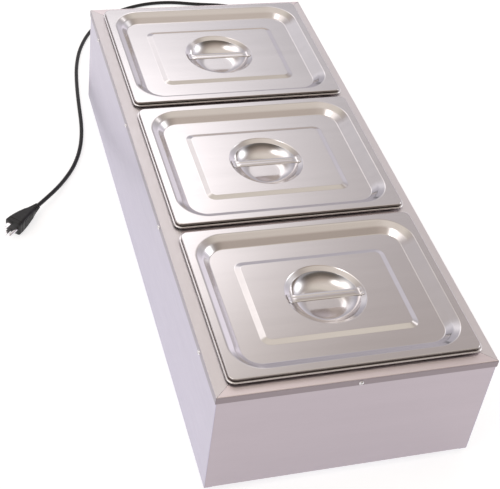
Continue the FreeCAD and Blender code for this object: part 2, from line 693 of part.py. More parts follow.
def thermostat():
    """Capillary thermostat behind the panel, its shaft, dial, screws, bulb and knob."""
    body = new_body("thermostat_body")
    half = THERMOSTAT_SIZE / 2
    block(body, (INSIDE_X - THERMOSTAT_DEPTH, INSIDE_X), (D.knob_y - half, D.knob_y + half),
          (D.control_height - half, D.control_height + half))
    ears = D.dial_screw_radius + 5
    block(body, (INSIDE_X - 3, INSIDE_X), (D.knob_y - ears, D.knob_y + ears),
          (D.control_height - 6, D.control_height + 6))
    screws = [(D.knob_y + D.dial_screw_radius * side, D.control_height) for side in (-1, 1)]
    drill(body, "YZ_Plane", screws, D.rail_screw_radius + D.hole_clearance)
    drill(body, "YZ_Plane", [(D.knob_y, D.control_height)], D.shaft_radius + D.shaft_clearance)
    node(body, "thermostat_body")

    hole = D.shaft_radius + 1
    dial = turned_piece("dial_plate", [(hole, 0), (D.dial_radius, 0), (D.dial_radius, 1), (hole, 1)], "+x",
                        x=WALL_X, y=D.knob_y, z=D.control_height)
    drill(dial, "XY_Plane", [(0, D.dial_screw_radius * side) for side in (-1, 1)],
          D.rail_screw_radius + D.hole_clearance)
    node(dial, "dial_plate")
    group("dial_screws", [pan_head_screw(f"dial_screw_{side + 1}", D.rail_screw_radius, 2.6, 5, "+x", x=WALL_X + 1,
                                         y=D.knob_y + D.dial_screw_radius * side, z=D.control_height)
                          for side in (-1, 1)])

    knob_length = D.knob_reach - D.knob_gap
    bore = D.shaft_radius
    points = [(bore, 0), (D.knob_radius, 0), (D.knob_radius, 2), (D.knob_radius - 2, 4),
              (D.knob_radius - 3.5, knob_length - 1.5), (D.knob_radius - 5, knob_length), (0, knob_length),
              (0, knob_length - 3), (bore, knob_length - 3)]
    node(turned_piece("control_knob", points, "+x", x=WALL_X + D.knob_gap, y=D.knob_y, z=D.control_height),
         "control_knob")
    shaft = [(0, -20), (bore, -20), (bore, D.knob_reach - 3), (0, D.knob_reach - 3)]
    node(turned_piece("thermostat_shaft", shaft, "+x", x=WALL_X, y=D.knob_y, z=D.control_height),
         "thermostat_shaft")

    back, bulb_height = INSIDE_X - THERMOSTAT_DEPTH, D.tank_floor - D.sheet - BULB_RADIUS
    points = route((back, 50, 50), (back - 11, 46, 52), (back - 39, 36, 56), (back - 65, 24, bulb_height),
                   (back - 95, 20, bulb_height), (280, 20, bulb_height))
    capillary, _, _ = tube(points, 0.9)
    bulb = Part.makeCylinder(BULB_RADIUS, 80, points[-1], Vector(-1, 0, 0))
    shaped("thermostat_bulb", capillary.fuse(bulb))


def pilot_lamp():
    """A domed lens on the panel and the lamp body behind it."""
    flange = D.lamp_radius + 1.5
    lens = [(0, 0), (flange, 0), (flange, 1.2), (D.lamp_radius, 1.2), (0, 5)]
    position = dict(x=WALL_X, y=D.lamp_y, z=D.control_height)
    dome = (D.lamp_radius * D.lamp_radius + 3.8 ** 2) / (2 * 3.8)
    node(turned_piece("pilot_lamp_lens", lens, "+x", {3: (dome, 1)}, **position), "pilot_lamp_lens")
    radius = D.lamp_radius - D.hole_clearance
    lamp = [(0, -20), (radius, -20), (radius, 0), (0, 0)]
    node(turned_piece("pilot_lamp_body", lamp, "+x", **position), "pilot_lamp_body")


def rocker_switch():
    """The power switch: a framed housing, its hinge pin and the rocker."""
    body = new_body("switch_housing", y=D.switch_y, z=D.control_height)
    half_width, half_height = SWITCH_WIDTH / 2, SWITCH_HEIGHT / 2
    back = WALL_X - SWITCH_DEPTH
    block(body, (back, WALL_X), (-half_width, half_width), (Size("(0)", 0) - half_height, half_height))
    block(body, (WALL_X, WALL_X + 2), (-half_width - 2, half_width + 2),
          (Size("(0)", 0) - half_height - 2.5, half_height + 2.5))
    hollow(body, (WALL_X - 14, WALL_X + 2), (-8, 8), (Size("(0)", 0) - 12.4, 12.4))
    for height in (-7, 7):
        block(body, (back - SPADE_LENGTH, back), (-3, 3), (Size("(0)", 0) + height - 0.4, height + 0.4))
    axis = WALL_X - D.rocker_axis_depth
    drill(body, "XZ_Plane", [(axis, 0)], D.rocker_pin_radius)
    node(body, "switch_housing")

    pin_end = half_width
    pin = [(0, -pin_end), (D.rocker_pin_radius, -pin_end), (D.rocker_pin_radius, pin_end), (0, pin_end)]
    position = dict(x=axis, y=D.switch_y, z=D.control_height)
    node(turned_piece("rocker_pin", pin, "+y", **position), "rocker_pin")

    tilt = Rotation(Vector(0, 1, 0), D.rocker_tilt.number)
    rocker = new_body("rocker_button", rotation=tilt, **position)
    points = [(0, -9), (6.5, -11), (4.6, 0), (6.5, 11), (0, 9), (-9, 0)]
    pad(rocker, outline(new_sketch(rocker, "XZ_Plane"), points, {4: (9, 1), 5: (9, 1)}), 15.2, midplane=True)
    drill(rocker, "XZ_Plane", [(0, 0)], D.rocker_pin_radius + D.rocker_pin_clearance)
    node(rocker, "rocker_button")


def wiring():
    """Terminal block, earth stud, thermal cut-out and the wires under the tank."""
    block_x = (348, 370)
    terminal_top = 36
    body = new_body("terminal_block")
    block(body, block_x, (-142, -98), (BASE_TOP, terminal_top))
    node(body, "terminal_block")
    stud = [(0, BASE_TOP), (4.5, BASE_TOP), (4.5, BASE_TOP + 4), (2.5, BASE_TOP + 4), (2.5, BASE_TOP + 12),
            (0, BASE_TOP + 12)]
    node(turned_piece("earth_stud", stud, x=328, y=-130), "earth_stud")
    cutout_top = D.tank_floor - D.sheet
    cutout = [(0, cutout_top - 9), (8, cutout_top - 9), (8, cutout_top - 2), (11, cutout_top - 2),
              (11, cutout_top), (0, cutout_top)]
    node(turned_piece("thermal_cutout", cutout, x=300, y=-30), "thermal_cutout")
    gland_inside = WALL_X.number - 10
    tail = Part.makeCylinder(D.cord_radius.number, gland_inside - block_x[1],
                             Vector(block_x[1], D.cord_y.number, D.cord_height.number), Vector(1, 0, 0))
    shaped("supply_lead", tail)

    spade = number_of(WALL_X) - SWITCH_DEPTH - SPADE_LENGTH
    thermostat_back = number_of(INSIDE_X) - THERMOSTAT_DEPTH
    pin_x, pin_y, pin_z = D.heater_leg.number, D.heater_half_width.number, D.pin_end.number
    live = [
        [(354, -112, terminal_top), (354, -112, 48), (378, -88, 52), (384, -62, 50), (382, -42, 47), (spade, -42, 47)],
        [(spade, -38, 33), (379, -38, 33), (377, -8, 27), (378, 24, 26), (381, 50, 31), (thermostat_back, 50, 31)],
        [(thermostat_back, 70, 30), (381, 70, 30), (372, 72, 19), (pin_x, pin_y, 17), (pin_x, pin_y, pin_z)],
    ]
    neutral = [
        [(364, -104, terminal_top), (364, -104, 44), (366, -86, 40), (371, -76, 22), (pin_x, -pin_y, 17),
         (pin_x, -pin_y, pin_z)],
    ]
    earth = [
        [(354, -130, terminal_top), (354, -130, 47), (328, -130, 44), (328, -130, 26)],
    ]
    for name, routes in (("live_wires", live), ("neutral_wire", neutral), ("earth_wire", earth)):
        solids = [tube(route(*points), D.wire_radius.number)[0] for points in routes]
        shaped(name, Part.makeCompound(solids) if len(solids) > 1 else solids[0])


# ------------------------------------------------------------------ mains cord and plug
HEADING = Vector(math.cos(math.radians(D.plug_heading.number)), math.sin(math.radians(D.plug_heading.number)), 0)
PLUG_REAR = Vector(142.5, 305.0, D.plug_height.number)


def strain_relief():
    """The gland in the right end panel with its tapered sleeve."""
    points = [(0, -10), (9, -10), (9, -1), (GLAND_NECK, -1), (GLAND_NECK, 0), (10, 0), (10, 3), (6.8, 3),
              (4.4, D.sleeve_length), (0, D.sleeve_length)]
    node(turned_piece("cord_strain_relief", points, "+x", x=WALL_X, y=D.cord_y, z=D.cord_height),
         "cord_strain_relief")


def power_cord():
    """The cord leaves the gland, drops to the floor, loops round the end and runs along the rear."""
    end_x, y, z = WALL_X.number + D.sleeve_length.number, D.cord_y.number, D.cord_height.number
    rest = D.cord_radius.number
    points = route((end_x, y, z), (end_x + 34, y, z), (532, -130, 18.5), (570, -155, 6.5), (604, -188, rest),
                   (648, -205, rest), (692, -184, rest), (712, -138, rest), (719, -86, rest),
                   (732, -32, rest), (727, 26, rest), (701, 84, rest), (648, 135, rest), (588, 166, rest),
                   (528, 183, rest), (466, 192, rest), (404, 198, rest), (344, 203, rest),
                   (290, 214, rest), (243, 232, rest), (204, 256, rest + 1))
    points += [PLUG_REAR - HEADING * 34, PLUG_REAR]
    solid, length, radii = tube(points, D.cord_radius.number)
    print("cord length", round(length), "arc radii", [round(radius) for radius in radii])
    shaped("power_cord", solid)


def plug():
    """A moulded three-pin plug lying on its side: sleeve, body, flat blades and earth pin."""
    upright = Rotation(Vector(0, 0, 1), HEADING.cross(Vector(0, 0, 1)), HEADING, "ZXY")
    position = dict(x=PLUG_REAR.x, y=PLUG_REAR.y, z=D.plug_height, rotation=upright)
    body = new_body("plug_body", **position)
    turned(body, [(0, 0), (6.2, 0), (7.2, D.plug_neck), (0, D.plug_neck)])
    rear = rounded_rectangle(body, D.plug_neck - 2, Size("(15)", 15), Size("(19)", 19), Size("(5)", 5))
    front = rounded_rectangle(body, D.plug_length, D.plug_height * 2, Size("(27)", 27), Size("(5)", 5))
    loft(body, "AdditiveLoft", rear, front)
    node(body, "plug_body")
    front_face, blade_end = D.plug_length, D.plug_length + D.blade_length
    blades = []
    for side in (-1, 1):
        blade = new_body(f"plug_blade_{side + 1}", **position)
        middle = D.blade_spacing / 2 * side
        block(blade, (middle - 0.75, middle + 0.75), (0.9, 7.2), (front_face, blade_end))
        blades.append(blade)
    group("plug_blades", blades)
    pin = new_body("plug_earth_pin", **position)
    radius, pin_y = D.earth_pin_radius, -7.9
    sketch = new_sketch(pin, lift=front_face)
    circle = sketch.addGeometry(Part.Circle(Vector(0, pin_y, 0), Vector(0, 0, 1), radius.number))
    dimension(sketch, "Radius", (circle,), radius)
    dimension(sketch, "DistanceX", (-1, 1, circle, 3), 0)
    dimension(sketch, "DistanceY", (-1, 1, circle, 3), pin_y)
    pad(pin, sketch, D.earth_pin_length)
    node(pin, "plug_earth_pin")


# ------------------------------------------------------------------ assembly
for name in CORNERS:
    top_rail(name)
long_panel("front_panel", -1)
long_panel("rear_panel", 1)
end_panel("left_end_panel", -1)
control_panel()
base_plate()
divider_bar("divider_bar_left", -1)
divider_bar("divider_bar_right", 1)
rail_screws()
base_screws()
FEET = [(FOOT_X * x, FOOT_Y * y) for x in (-1, 1) for y in (-1, 1)]
for index, (x, y) in enumerate(FEET, start=1):
    foot(f"foot_{index}", x, y)
group("foot_screws", [foot_screw(f"foot_screw_{index}", x, y) for index, (x, y) in enumerate(FEET)])
group("foot_nuts", [foot_nut(f"foot_nut_{index}", x, y) for index, (x, y) in enumerate(FEET)])
water_tank()
insulation()
heating_element()
heater_fittings()
heater_supports()
for name, place_along in (("left", -D.pan_pitch), ("middle", D.pan_pitch * 0), ("right", D.pan_pitch)):
    pan(f"pan_{name}", place_along)
    lid(f"lid_{name}", place_along)
    lid_handle(f"lid_handle_{name}", place_along)
thermostat()
pilot_lamp()
rocker_switch()
strain_relief()
wiring()
power_cord()
plug()

document.recompute()

# ------------------------------------------------------------------ tests and export
for item in document.Objects:
    if "Invalid" in item.State or "Error" in item.State:
        raise RuntimeError(f"{item.Label}: {item.State}")
    if item.TypeId in ("PartDesign::Pocket", "PartDesign::SubtractiveLoft"):
        if item.Shape.Volume > item.BaseFeature.Shape.Volume - 0.01:
            raise RuntimeError(f"{item.Label} cuts nothing")

os.makedirs("parts", exist_ok=True)
for item in NODES:
    if item.Shape.isNull() or not item.Shape.isValid():
        raise RuntimeError(f"{item.Label} has no valid shape")
    item.Shape.exportStep(f"parts/{item.Label}.step")
print("nodes", len(NODES), "volume", round(sum(item.Shape.Volume for item in NODES) / 1000), "cm3")
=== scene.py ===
import json
import math

import bpy
from mathutils import Matrix, Vector


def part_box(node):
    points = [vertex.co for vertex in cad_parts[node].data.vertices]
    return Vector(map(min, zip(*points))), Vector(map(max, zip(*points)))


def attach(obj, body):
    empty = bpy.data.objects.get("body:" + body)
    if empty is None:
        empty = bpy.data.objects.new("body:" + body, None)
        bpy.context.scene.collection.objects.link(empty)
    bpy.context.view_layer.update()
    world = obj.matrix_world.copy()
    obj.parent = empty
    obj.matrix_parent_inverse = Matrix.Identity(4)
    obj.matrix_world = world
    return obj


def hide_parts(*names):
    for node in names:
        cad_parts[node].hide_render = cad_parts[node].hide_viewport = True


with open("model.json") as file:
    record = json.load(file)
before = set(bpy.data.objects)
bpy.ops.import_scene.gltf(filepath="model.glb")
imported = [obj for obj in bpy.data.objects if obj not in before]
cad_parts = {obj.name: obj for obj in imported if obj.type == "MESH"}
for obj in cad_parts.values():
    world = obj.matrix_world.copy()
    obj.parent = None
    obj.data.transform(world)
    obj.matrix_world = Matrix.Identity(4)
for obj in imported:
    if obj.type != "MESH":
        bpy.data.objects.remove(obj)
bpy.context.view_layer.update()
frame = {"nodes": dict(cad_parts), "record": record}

# An electric buffet server with three lidded pans. Sizes below are in millimetres in the row
# frame, unless a name says otherwise, and become metres when a mesh or curve is made.
scene = bpy.context.scene
scene.view_settings.view_transform = "Standard"
MM = 0.001
SHEET = 0.8                              # thickness of the pans' and the lids' steel


def edges(node):
    low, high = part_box(node)
    return low / MM, high / MM


def middle(node):
    low, high = edges(node)
    return (low + high) / 2


SHELL = middle("front_panel").x          # the middle of the box along X

# ------------------------------------------------------------------ camera
camera = bpy.data.objects.new("camera", bpy.data.cameras.new("camera"))
scene.collection.objects.link(camera)
scene.camera = camera
camera.data.lens = 86.55
camera.data.sensor_width = 36
RIGHT = Vector((-0.26347, -0.95798, 0.1134))
DOWN = Vector((-0.66316, 0.0945, -0.74249))
AHEAD = Vector((0.70058, -0.27083, -0.66019))
turn = Matrix((RIGHT, -DOWN, -AHEAD)).transposed()
STAND = Vector((SHELL - 1280.9, 499.0, 1226.9))
camera.matrix_world = Matrix.Translation(STAND * MM) @ turn.to_4x4()


# ------------------------------------------------------------------ materials
def colour(red, green, blue):
    """An sRGB colour, 0 to 255, as the shader wants it."""
    return [((c / 255 + 0.055) / 1.055) ** 2.4 if c > 10 else c / 255 / 12.92 for c in (red, green, blue)] + [1]


class Look:
    """A procedural material: a principled surface with noise in the coordinates of the object."""

    def __init__(self, name, metallic=0.0, roughness=0.5, **sockets):
        self.material = bpy.data.materials.new(name)
        self.material.use_nodes = True
        self.nodes = self.material.node_tree.nodes
        self.links = self.material.node_tree.links
        self.surface = self.nodes["Principled BSDF"]
        self.surface.inputs["Metallic"].default_value = metallic
        self.surface.inputs["Roughness"].default_value = roughness
        for socket, amount in sockets.items():
            self.surface.inputs[socket.replace("_", " ")].default_value = amount
        self.coordinates = self.nodes.new("ShaderNodeTexCoord").outputs["Object"]
        self.height = None

    def noise(self, scale, detail=3.0, distortion=0.0):
        """Noise with its own scale along each axis, in features per metre."""
        mapping = self.nodes.new("ShaderNodeMapping")
        mapping.inputs["Scale"].default_value = scale if isinstance(scale, tuple) else (scale,) * 3
        self.links.new(self.coordinates, mapping.inputs["Vector"])
        texture = self.nodes.new("ShaderNodeTexNoise")
        texture.inputs["Scale"].default_value = 1.0
        texture.inputs["Detail"].default_value = detail
        texture.inputs["Distortion"].default_value = distortion
        self.links.new(mapping.outputs["Vector"], texture.inputs["Vector"])
        return texture.outputs["Fac"]

    def spread(self, factor, low, high, start=0.3, end=0.7):
        node = self.nodes.new("ShaderNodeMapRange")
        for socket, amount in zip(("From Min", "From Max", "To Min", "To Max"), (start, end, low, high)):
            node.inputs[socket].default_value = amount
        self.links.new(factor, node.inputs["Value"])
        return node.outputs["Result"]

    def colours(self, factor, *stops):
        """Colour from a factor, through stops of (position, colour)."""
        ramp = self.nodes.new("ShaderNodeValToRGB")
        elements = ramp.color_ramp.elements
        while len(elements) < len(stops):
            elements.new(0.5)
        for element, (position, shade) in zip(elements, stops):
            element.position, element.color = position, shade
        self.links.new(factor, ramp.inputs["Fac"])
        self.links.new(ramp.outputs["Color"], self.surface.inputs["Base Color"])
        return self

    def rough(self, factor, low, high):
        self.links.new(self.spread(factor, low, high), self.surface.inputs["Roughness"])
        return self

    def bump(self, factor, depth, strength=1.0):
        """Adds relief; depth is in millimetres."""
        node = self.nodes.new("ShaderNodeBump")
        node.inputs["Distance"].default_value = depth * MM
        node.inputs["Strength"].default_value = strength
        self.links.new(factor, node.inputs["Height"])
        if self.height is not None:
            self.links.new(self.height, node.inputs["Normal"])
        self.height = node.outputs["Normal"]
        self.links.new(self.height, self.surface.inputs["Normal"])
        return self


def steel(name, tint, roughness, along, grain=0.004, smear=0.03, wave=0.0):
    """Rolled stainless sheet: grain along one axis, soft smears and a little waviness."""
    look = Look(name, metallic=1.0)
    fine = tuple(45 if axis == along else 1500 for axis in "xyz")
    broad = tuple(5 if axis == along else 60 for axis in "xyz")
    dark = [part * (1 - smear) for part in tint[:3]] + [1]
    light = [min(1, part * (1 + smear)) for part in tint[:3]] + [1]
    look.colours(look.noise(broad, detail=4), (0.3, dark), (0.7, light))
    look.rough(look.noise(fine, detail=2), roughness * 0.86, roughness * 1.16)
    if wave:
        look.bump(look.noise(6, detail=1), wave)
    look.bump(look.noise(fine, detail=3), grain)
    return look.material


def moulded(name, shade, roughness, depth=0.02, scale=900, light=1.5, **sockets):
    """Moulded rubber or plastic with a fine skin and faint mottling."""
    look = Look(name, **sockets)
    paler = [part * light for part in shade[:3]] + [1]
    look.colours(look.noise(scale / 12, detail=4), (0.35, shade), (0.75, paler))
    look.rough(look.noise(scale / 6), roughness * 0.85, roughness * 1.2)
    look.bump(look.noise(scale), depth)
    return look.material


LOOKS = {
    # The walls are one steel in two tints, painted light and shade: the long walls a lighter lavender, the end walls
    # a darker pinkish, as light falls on each side.
    "body_steel": steel("wall_painted_side_light", (0.55, 0.517, 0.62, 1), 0.34, "x", grain=0.001, smear=0.012, wave=0.3),
    "end_painted_side_shade": steel("end_painted_side_shade", (0.485, 0.428, 0.468, 1), 0.34, "y", grain=0.001, smear=0.012, wave=0.3),
    # The frame's strips along X and along Y are one steel in two tints: painted light and shade.
    "rail_x_steel": steel("rail_x_steel", (0.84, 0.80, 0.81, 1), 0.42, "x", grain=0.0012, smear=0.03),
    "rail_y_steel": steel("rail_y_steel", (0.91, 0.82, 0.835, 1), 0.38, "y", grain=0.0012, smear=0.03),
    # Dark steel for the frame rails' vertical skirts: painted shade, darker still on the skirts along Y.
    "skirt_x_steel": steel("skirt_x_steel", (0.34, 0.305, 0.35, 1), 0.32, "x", grain=0.0012),
    "skirt_y_steel": steel("skirt_y_steel", (0.285, 0.243, 0.26, 1), 0.32, "y", grain=0.0012),
    "lid_steel": steel("lid_steel", (0.80, 0.775, 0.78, 1), 0.13, "y", grain=0.0015, smear=0.02, wave=0.1),
    "pan_steel": steel("pan_steel", (0.78, 0.75, 0.75, 1), 0.18, "y"),
    # A dark steel for the lids' turned-down edge: painted shade.
    "lid_edge_painted_shade": steel("lid_edge_painted_shade", (0.30, 0.26, 0.25, 1), 0.2, "y", grain=0.001, smear=0.02),
    # A pale steel for the pans' rolled rims: a painted highlight.
    "pan_rim_painted_highlight": steel("pan_rim_painted_highlight", (0.96, 0.94, 0.94, 1), 0.22, "y", grain=0.001, smear=0.02),
    "tank_steel": steel("tank_steel", colour(200, 196, 196), 0.32, "x"),
    "fastener_steel": steel("fastener_steel", colour(238, 236, 238), 0.2, "z", grain=0.001, smear=0.02),
    "dial_aluminium": steel("dial_aluminium", colour(222, 222, 224), 0.35, "z"),
    "foot_rubber": moulded("foot_rubber", colour(24, 24, 25), 0.7),
    "heater_sheath": steel("heater_sheath", colour(150, 142, 136), 0.42, "x", smear=0.2),
    "seal_rubber": moulded("seal_rubber", colour(150, 66, 52), 0.6, light=1.2),
    "brass": steel("brass", colour(212, 180, 108), 0.25, "z", smear=0.08),
    "wool": moulded("wool", colour(214, 196, 132), 0.95, depth=1.2, scale=420, light=1.25),
    "cord_jacket": moulded("cord_jacket", colour(20, 20, 21), 0.45, depth=0.03, scale=1400),
    "moulded_rubber": moulded("moulded_rubber", colour(22, 22, 23), 0.42, depth=0.03, scale=1400),
    "black_plastic": moulded("black_plastic", colour(20, 20, 22), 0.32, depth=0.01),
    "control_plastic": moulded("control_plastic", colour(222, 218, 206), 0.5, light=1.05),
    "block_plastic": moulded("block_plastic", colour(228, 224, 214), 0.55, light=1.05),
    "lamp_lens": moulded("lamp_lens", colour(236, 92, 22), 0.12, depth=0.005, light=1.2,
                         Transmission_Weight=0.35),
    "copper": steel("copper", colour(216, 150, 112), 0.3, "x", smear=0.12),
    "live_jacket": moulded("live_jacket", colour(28, 28, 30), 0.4),
    "neutral_jacket": moulded("neutral_jacket", colour(232, 232, 226), 0.4, light=1.05),
    "earth_jacket": moulded("earth_jacket", colour(64, 148, 66), 0.4, light=1.2),
    "white_mark": moulded("white_mark", colour(238, 238, 234), 0.45, light=1.02),
    "black_mark": moulded("black_mark", colour(26, 26, 28), 0.5),
}


# ------------------------------------------------------------------ making pieces
def finish_piece(obj, body, slot, look, replaced):
    scene.collection.objects.link(obj)
    obj.data.materials.append(LOOKS[look or slot])
    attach(obj, body)
    if replaced:
        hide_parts(*replaced)
    return obj


def piece(name, shape, body, slot, look=None, replaced=(), smooth=True):
    """A mesh from (vertices, faces) in millimetres, riding on a body."""
    vertices, faces = shape
    mesh = bpy.data.meshes.new(name)
    mesh.from_pydata([vertex * MM for vertex in vertices], [], faces)
    mesh.validate()
    mesh.polygons.foreach_set("use_smooth", [smooth] * len(mesh.polygons))
    return finish_piece(bpy.data.objects.new(name, mesh), body, slot, look, replaced)


def thicken(obj, thickness):
    """Sheet metal: the mesh is the upper face, and the thickness grows under it."""
    skin = obj.modifiers.new("thickness", "SOLIDIFY")
    skin.thickness = thickness * MM
    skin.offset = -1
    return obj


def edge_look(obj, loops, rows, look):
    """Gives the outermost rows of a pressing a second material: painted shade on a lid's edge, a painted highlight on
    a pan's rim.
    """
    obj.data.materials.append(LOOKS[look])
    for polygon in obj.data.polygons[:rows * len(loops[0])]:
        polygon.material_index = 1


def soften(obj, width, segments=2):
    """A small round on every sharp edge."""
    bevel = obj.modifiers.new("edges", "BEVEL")
    bevel.width = width * MM
    bevel.segments = segments
    bevel.limit_method = "ANGLE"
    bevel.angle_limit = math.radians(35)
    bevel.harden_normals = True
    return obj


def joined(shapes):
    """Several (vertices, faces) as one."""
    vertices, faces = [], []
    for more, sides in shapes:
        faces += [[index + len(vertices) for index in side] for side in sides]
        vertices += more
    return vertices, faces


def moved(shape, matrix):
    vertices, faces = shape
    return [matrix @ vertex for vertex in vertices], faces


def skin(loops, start=None, end=None):
    """Quads between loops of equal length; start and end close them: "fan" or "face"."""
    count = len(loops[0])
    vertices = [vertex for loop in loops for vertex in loop]
    faces = []
    for row in range(len(loops) - 1):
        for index in range(count):
            following = (index + 1) % count
            faces.append([row * count + index, row * count + following,
                          (row + 1) * count + following, (row + 1) * count + index])
    for how, first, order in ((start, 0, -1), (end, (len(loops) - 1) * count, 1)):
        ring = [first + index for index in range(count)][::order]
        if how == "face":
            faces.append(ring)
        elif how == "fan":
            vertices.append(sum((vertices[index] for index in ring), Vector()) / count)
            faces += [[ring[index], ring[(index + 1) % count], len(vertices) - 1] for index in range(count)]
    return vertices, faces


def bend(points, radii, steps=5, hold=0.35):
    """A flat line with arcs in place of its corners, and a point close by on each side of one."""
    points = [Vector(point) for point in points]
    made = [points[0]]
    for before, corner, after, radius in zip(points, points[1:], points[2:], radii):
        back, onward = (before - corner).normalized(), (after - corner).normalized()
        half = back.angle(onward) / 2
        reach = radius / math.tan(half)
        centre = corner + (back + onward).normalized() * (radius / math.sin(half))
        first, last = corner + back * reach - centre, corner + onward * reach - centre
        made.append(corner + back * (reach + hold))
        made += [centre + first.lerp(last, step / steps).normalized() * radius for step in range(steps + 1)]
        made.append(corner + onward * (reach + hold))
    return made + [points[-1]]


CORNER_STEPS, SIDE_STEPS = 12, 24


def rounded_loop(half_x, half_y, corner, z, centre=Vector((0, 0, 0))):
    """Points round a rectangle with round corners, anticlockwise from +X."""
    spots = []
    for quarter, (side_x, side_y) in enumerate(((1, 1), (-1, 1), (-1, -1), (1, -1))):
        hub = Vector((side_x * (half_x - corner), side_y * (half_y - corner), z))
        for step in range(CORNER_STEPS + 1):
            angle = math.pi / 2 * (quarter + step / CORNER_STEPS)
            spots.append(hub + Vector((math.cos(angle), math.sin(angle), 0)) * corner)
    loop = []
    for index, spot in enumerate(spots):
        loop.append(spot + centre)
        if index % (CORNER_STEPS + 1) == CORNER_STEPS:
            following = spots[(index + 1) % len(spots)]
            loop += [spot.lerp(following, step / SIDE_STEPS) + centre for step in range(1, SIDE_STEPS)]
    return loop


def contour(stations, inset, z, centre):
    """The rounded loop at a distance in from the edge, between stations of (inset, half sizes, corner)."""
    for lower, upper in zip(stations, stations[1:]):
        if inset <= upper[0] or upper is stations[-1]:
            part = (inset - lower[0]) / (upper[0] - lower[0])
            half_x, half_y, corner = (a + (b - a) * part for a, b in zip(lower[1:], upper[1:]))
            return rounded_loop(half_x, half_y, corner, z, centre)


def circle_loop(pattern, radius, z, centre):
    """Points on a circle, each in the direction of the pattern's point."""
    return [centre + Vector((math.cos(angle) * radius, math.sin(angle) * radius, z))
            for angle in (math.atan2(spot.y, spot.x) for spot in pattern)]


def lathe(profile, segments=48, swell=None, start=None, end=None):
    """Turns (radius, height) points about Z; swell(angle, radius, height) can change a radius."""
    loops = []
    for radius, height in profile:
        loop = []
        for index in range(segments):
            angle = 2 * math.pi * index / segments
            reach = swell(angle, radius, height) if swell else radius
            loop.append(Vector((math.cos(angle) * reach, math.sin(angle) * reach, height)))
        loops.append(loop)
    return skin(loops, start, end)


def along(direction, position):
    """Places a piece made on Z so that its Z points in a direction."""
    return Matrix.Translation(Vector(position)) @ Vector(direction).to_track_quat("Z", "Y").to_matrix().to_4x4()


def extruded(profile, ends):
    """A closed (depth, height) profile swept between two ends; ends maps a profile point to a place."""
    return skin([[place(depth, height) for depth, height in profile] for place in ends], "face", "face")


# ------------------------------------------------------------------ mains cord, on the floor
CORD_RADIUS = 3.25
EXIT_Y, EXIT_Z = -120, 30                # the strain relief's axis
CORD = [(457, -120, 30), (491, -120, 30), (532, -130, 18.5), (570, -155, 6.5), (604, -188, 3.25),
        (648, -205, 3.25), (692, -184, 3.25), (712, -138, 3.25), (719, -86, 3.25), (732, -32, 3.25),
        (727, 26, 3.25), (701, 84, 3.25), (648, 135, 3.25), (588, 166, 3.25), (528, 183, 3.25),
        (466, 192, 3.25), (404, 198, 3.25), (344, 203, 3.25), (290, 214, 3.25), (243, 232, 3.25),
        (204, 256, 4.25), (166.7, 281.1, 11.5), (142.5, 305, 11.5)]
cord_line = bpy.data.curves.new("mains_cord", "CURVE")
cord_line.dimensions = "3D"
cord_line.bevel_depth = CORD_RADIUS * MM
cord_line.bevel_resolution = 8
cord_line.resolution_u = 12
cord_line.use_fill_caps = True
spline = cord_line.splines.new("NURBS")
spline.points.add(len(CORD) - 1)
for point, (x, y, z) in zip(spline.points, CORD):
    point.co = ((SHELL + x) * MM, y * MM, z * MM, 1)
spline.order_u = 3
spline.use_endpoint_u = True
cord = finish_piece(bpy.data.objects.new("mains_cord", cord_line), "base", "cord_jacket", None, ["power_cord"])

# strain relief: a flange, then a sleeve cut into rings that let it bend
sleeve_high = edges("cord_strain_relief")[1]
wall_x = edges("right_end_panel")[1].x
sleeve_length = sleeve_high.x - wall_x
profile = [(3.0, -9.5), (8.6, -9.5), (9.0, -9.0), (9.0, -1.2), (7.0, -1.0), (7.0, 0.0), (9.6, 0.0), (10.0, 0.4),
           (10.0, 2.6), (9.6, 3.0), (7.2, 3.2), (6.8, 3.8)]
rings = 6
for index in range(rings):
    begin = 6.0 + index * (sleeve_length - 9.0) / rings
    radius = 6.7 - 2.3 * begin / sleeve_length
    profile += [(radius, begin), (radius - 1.1, begin + 0.35), (radius - 1.2, begin + 1.5),
                (radius - 0.1, begin + 1.85)]
profile += [(4.5, sleeve_length - 0.6), (4.1, sleeve_length), (3.3, sleeve_length)]


def knurled(angle, radius, height):
    return radius + 0.25 * math.cos(18 * angle) if radius > 9.5 and height > 0.2 else radius


sleeve = piece("cord_sleeve", moved(lathe(profile, 72, knurled), along((1, 0, 0), (wall_x, EXIT_Y, EXIT_Z))),
               "base", "moulded_rubber", replaced=["cord_strain_relief"])

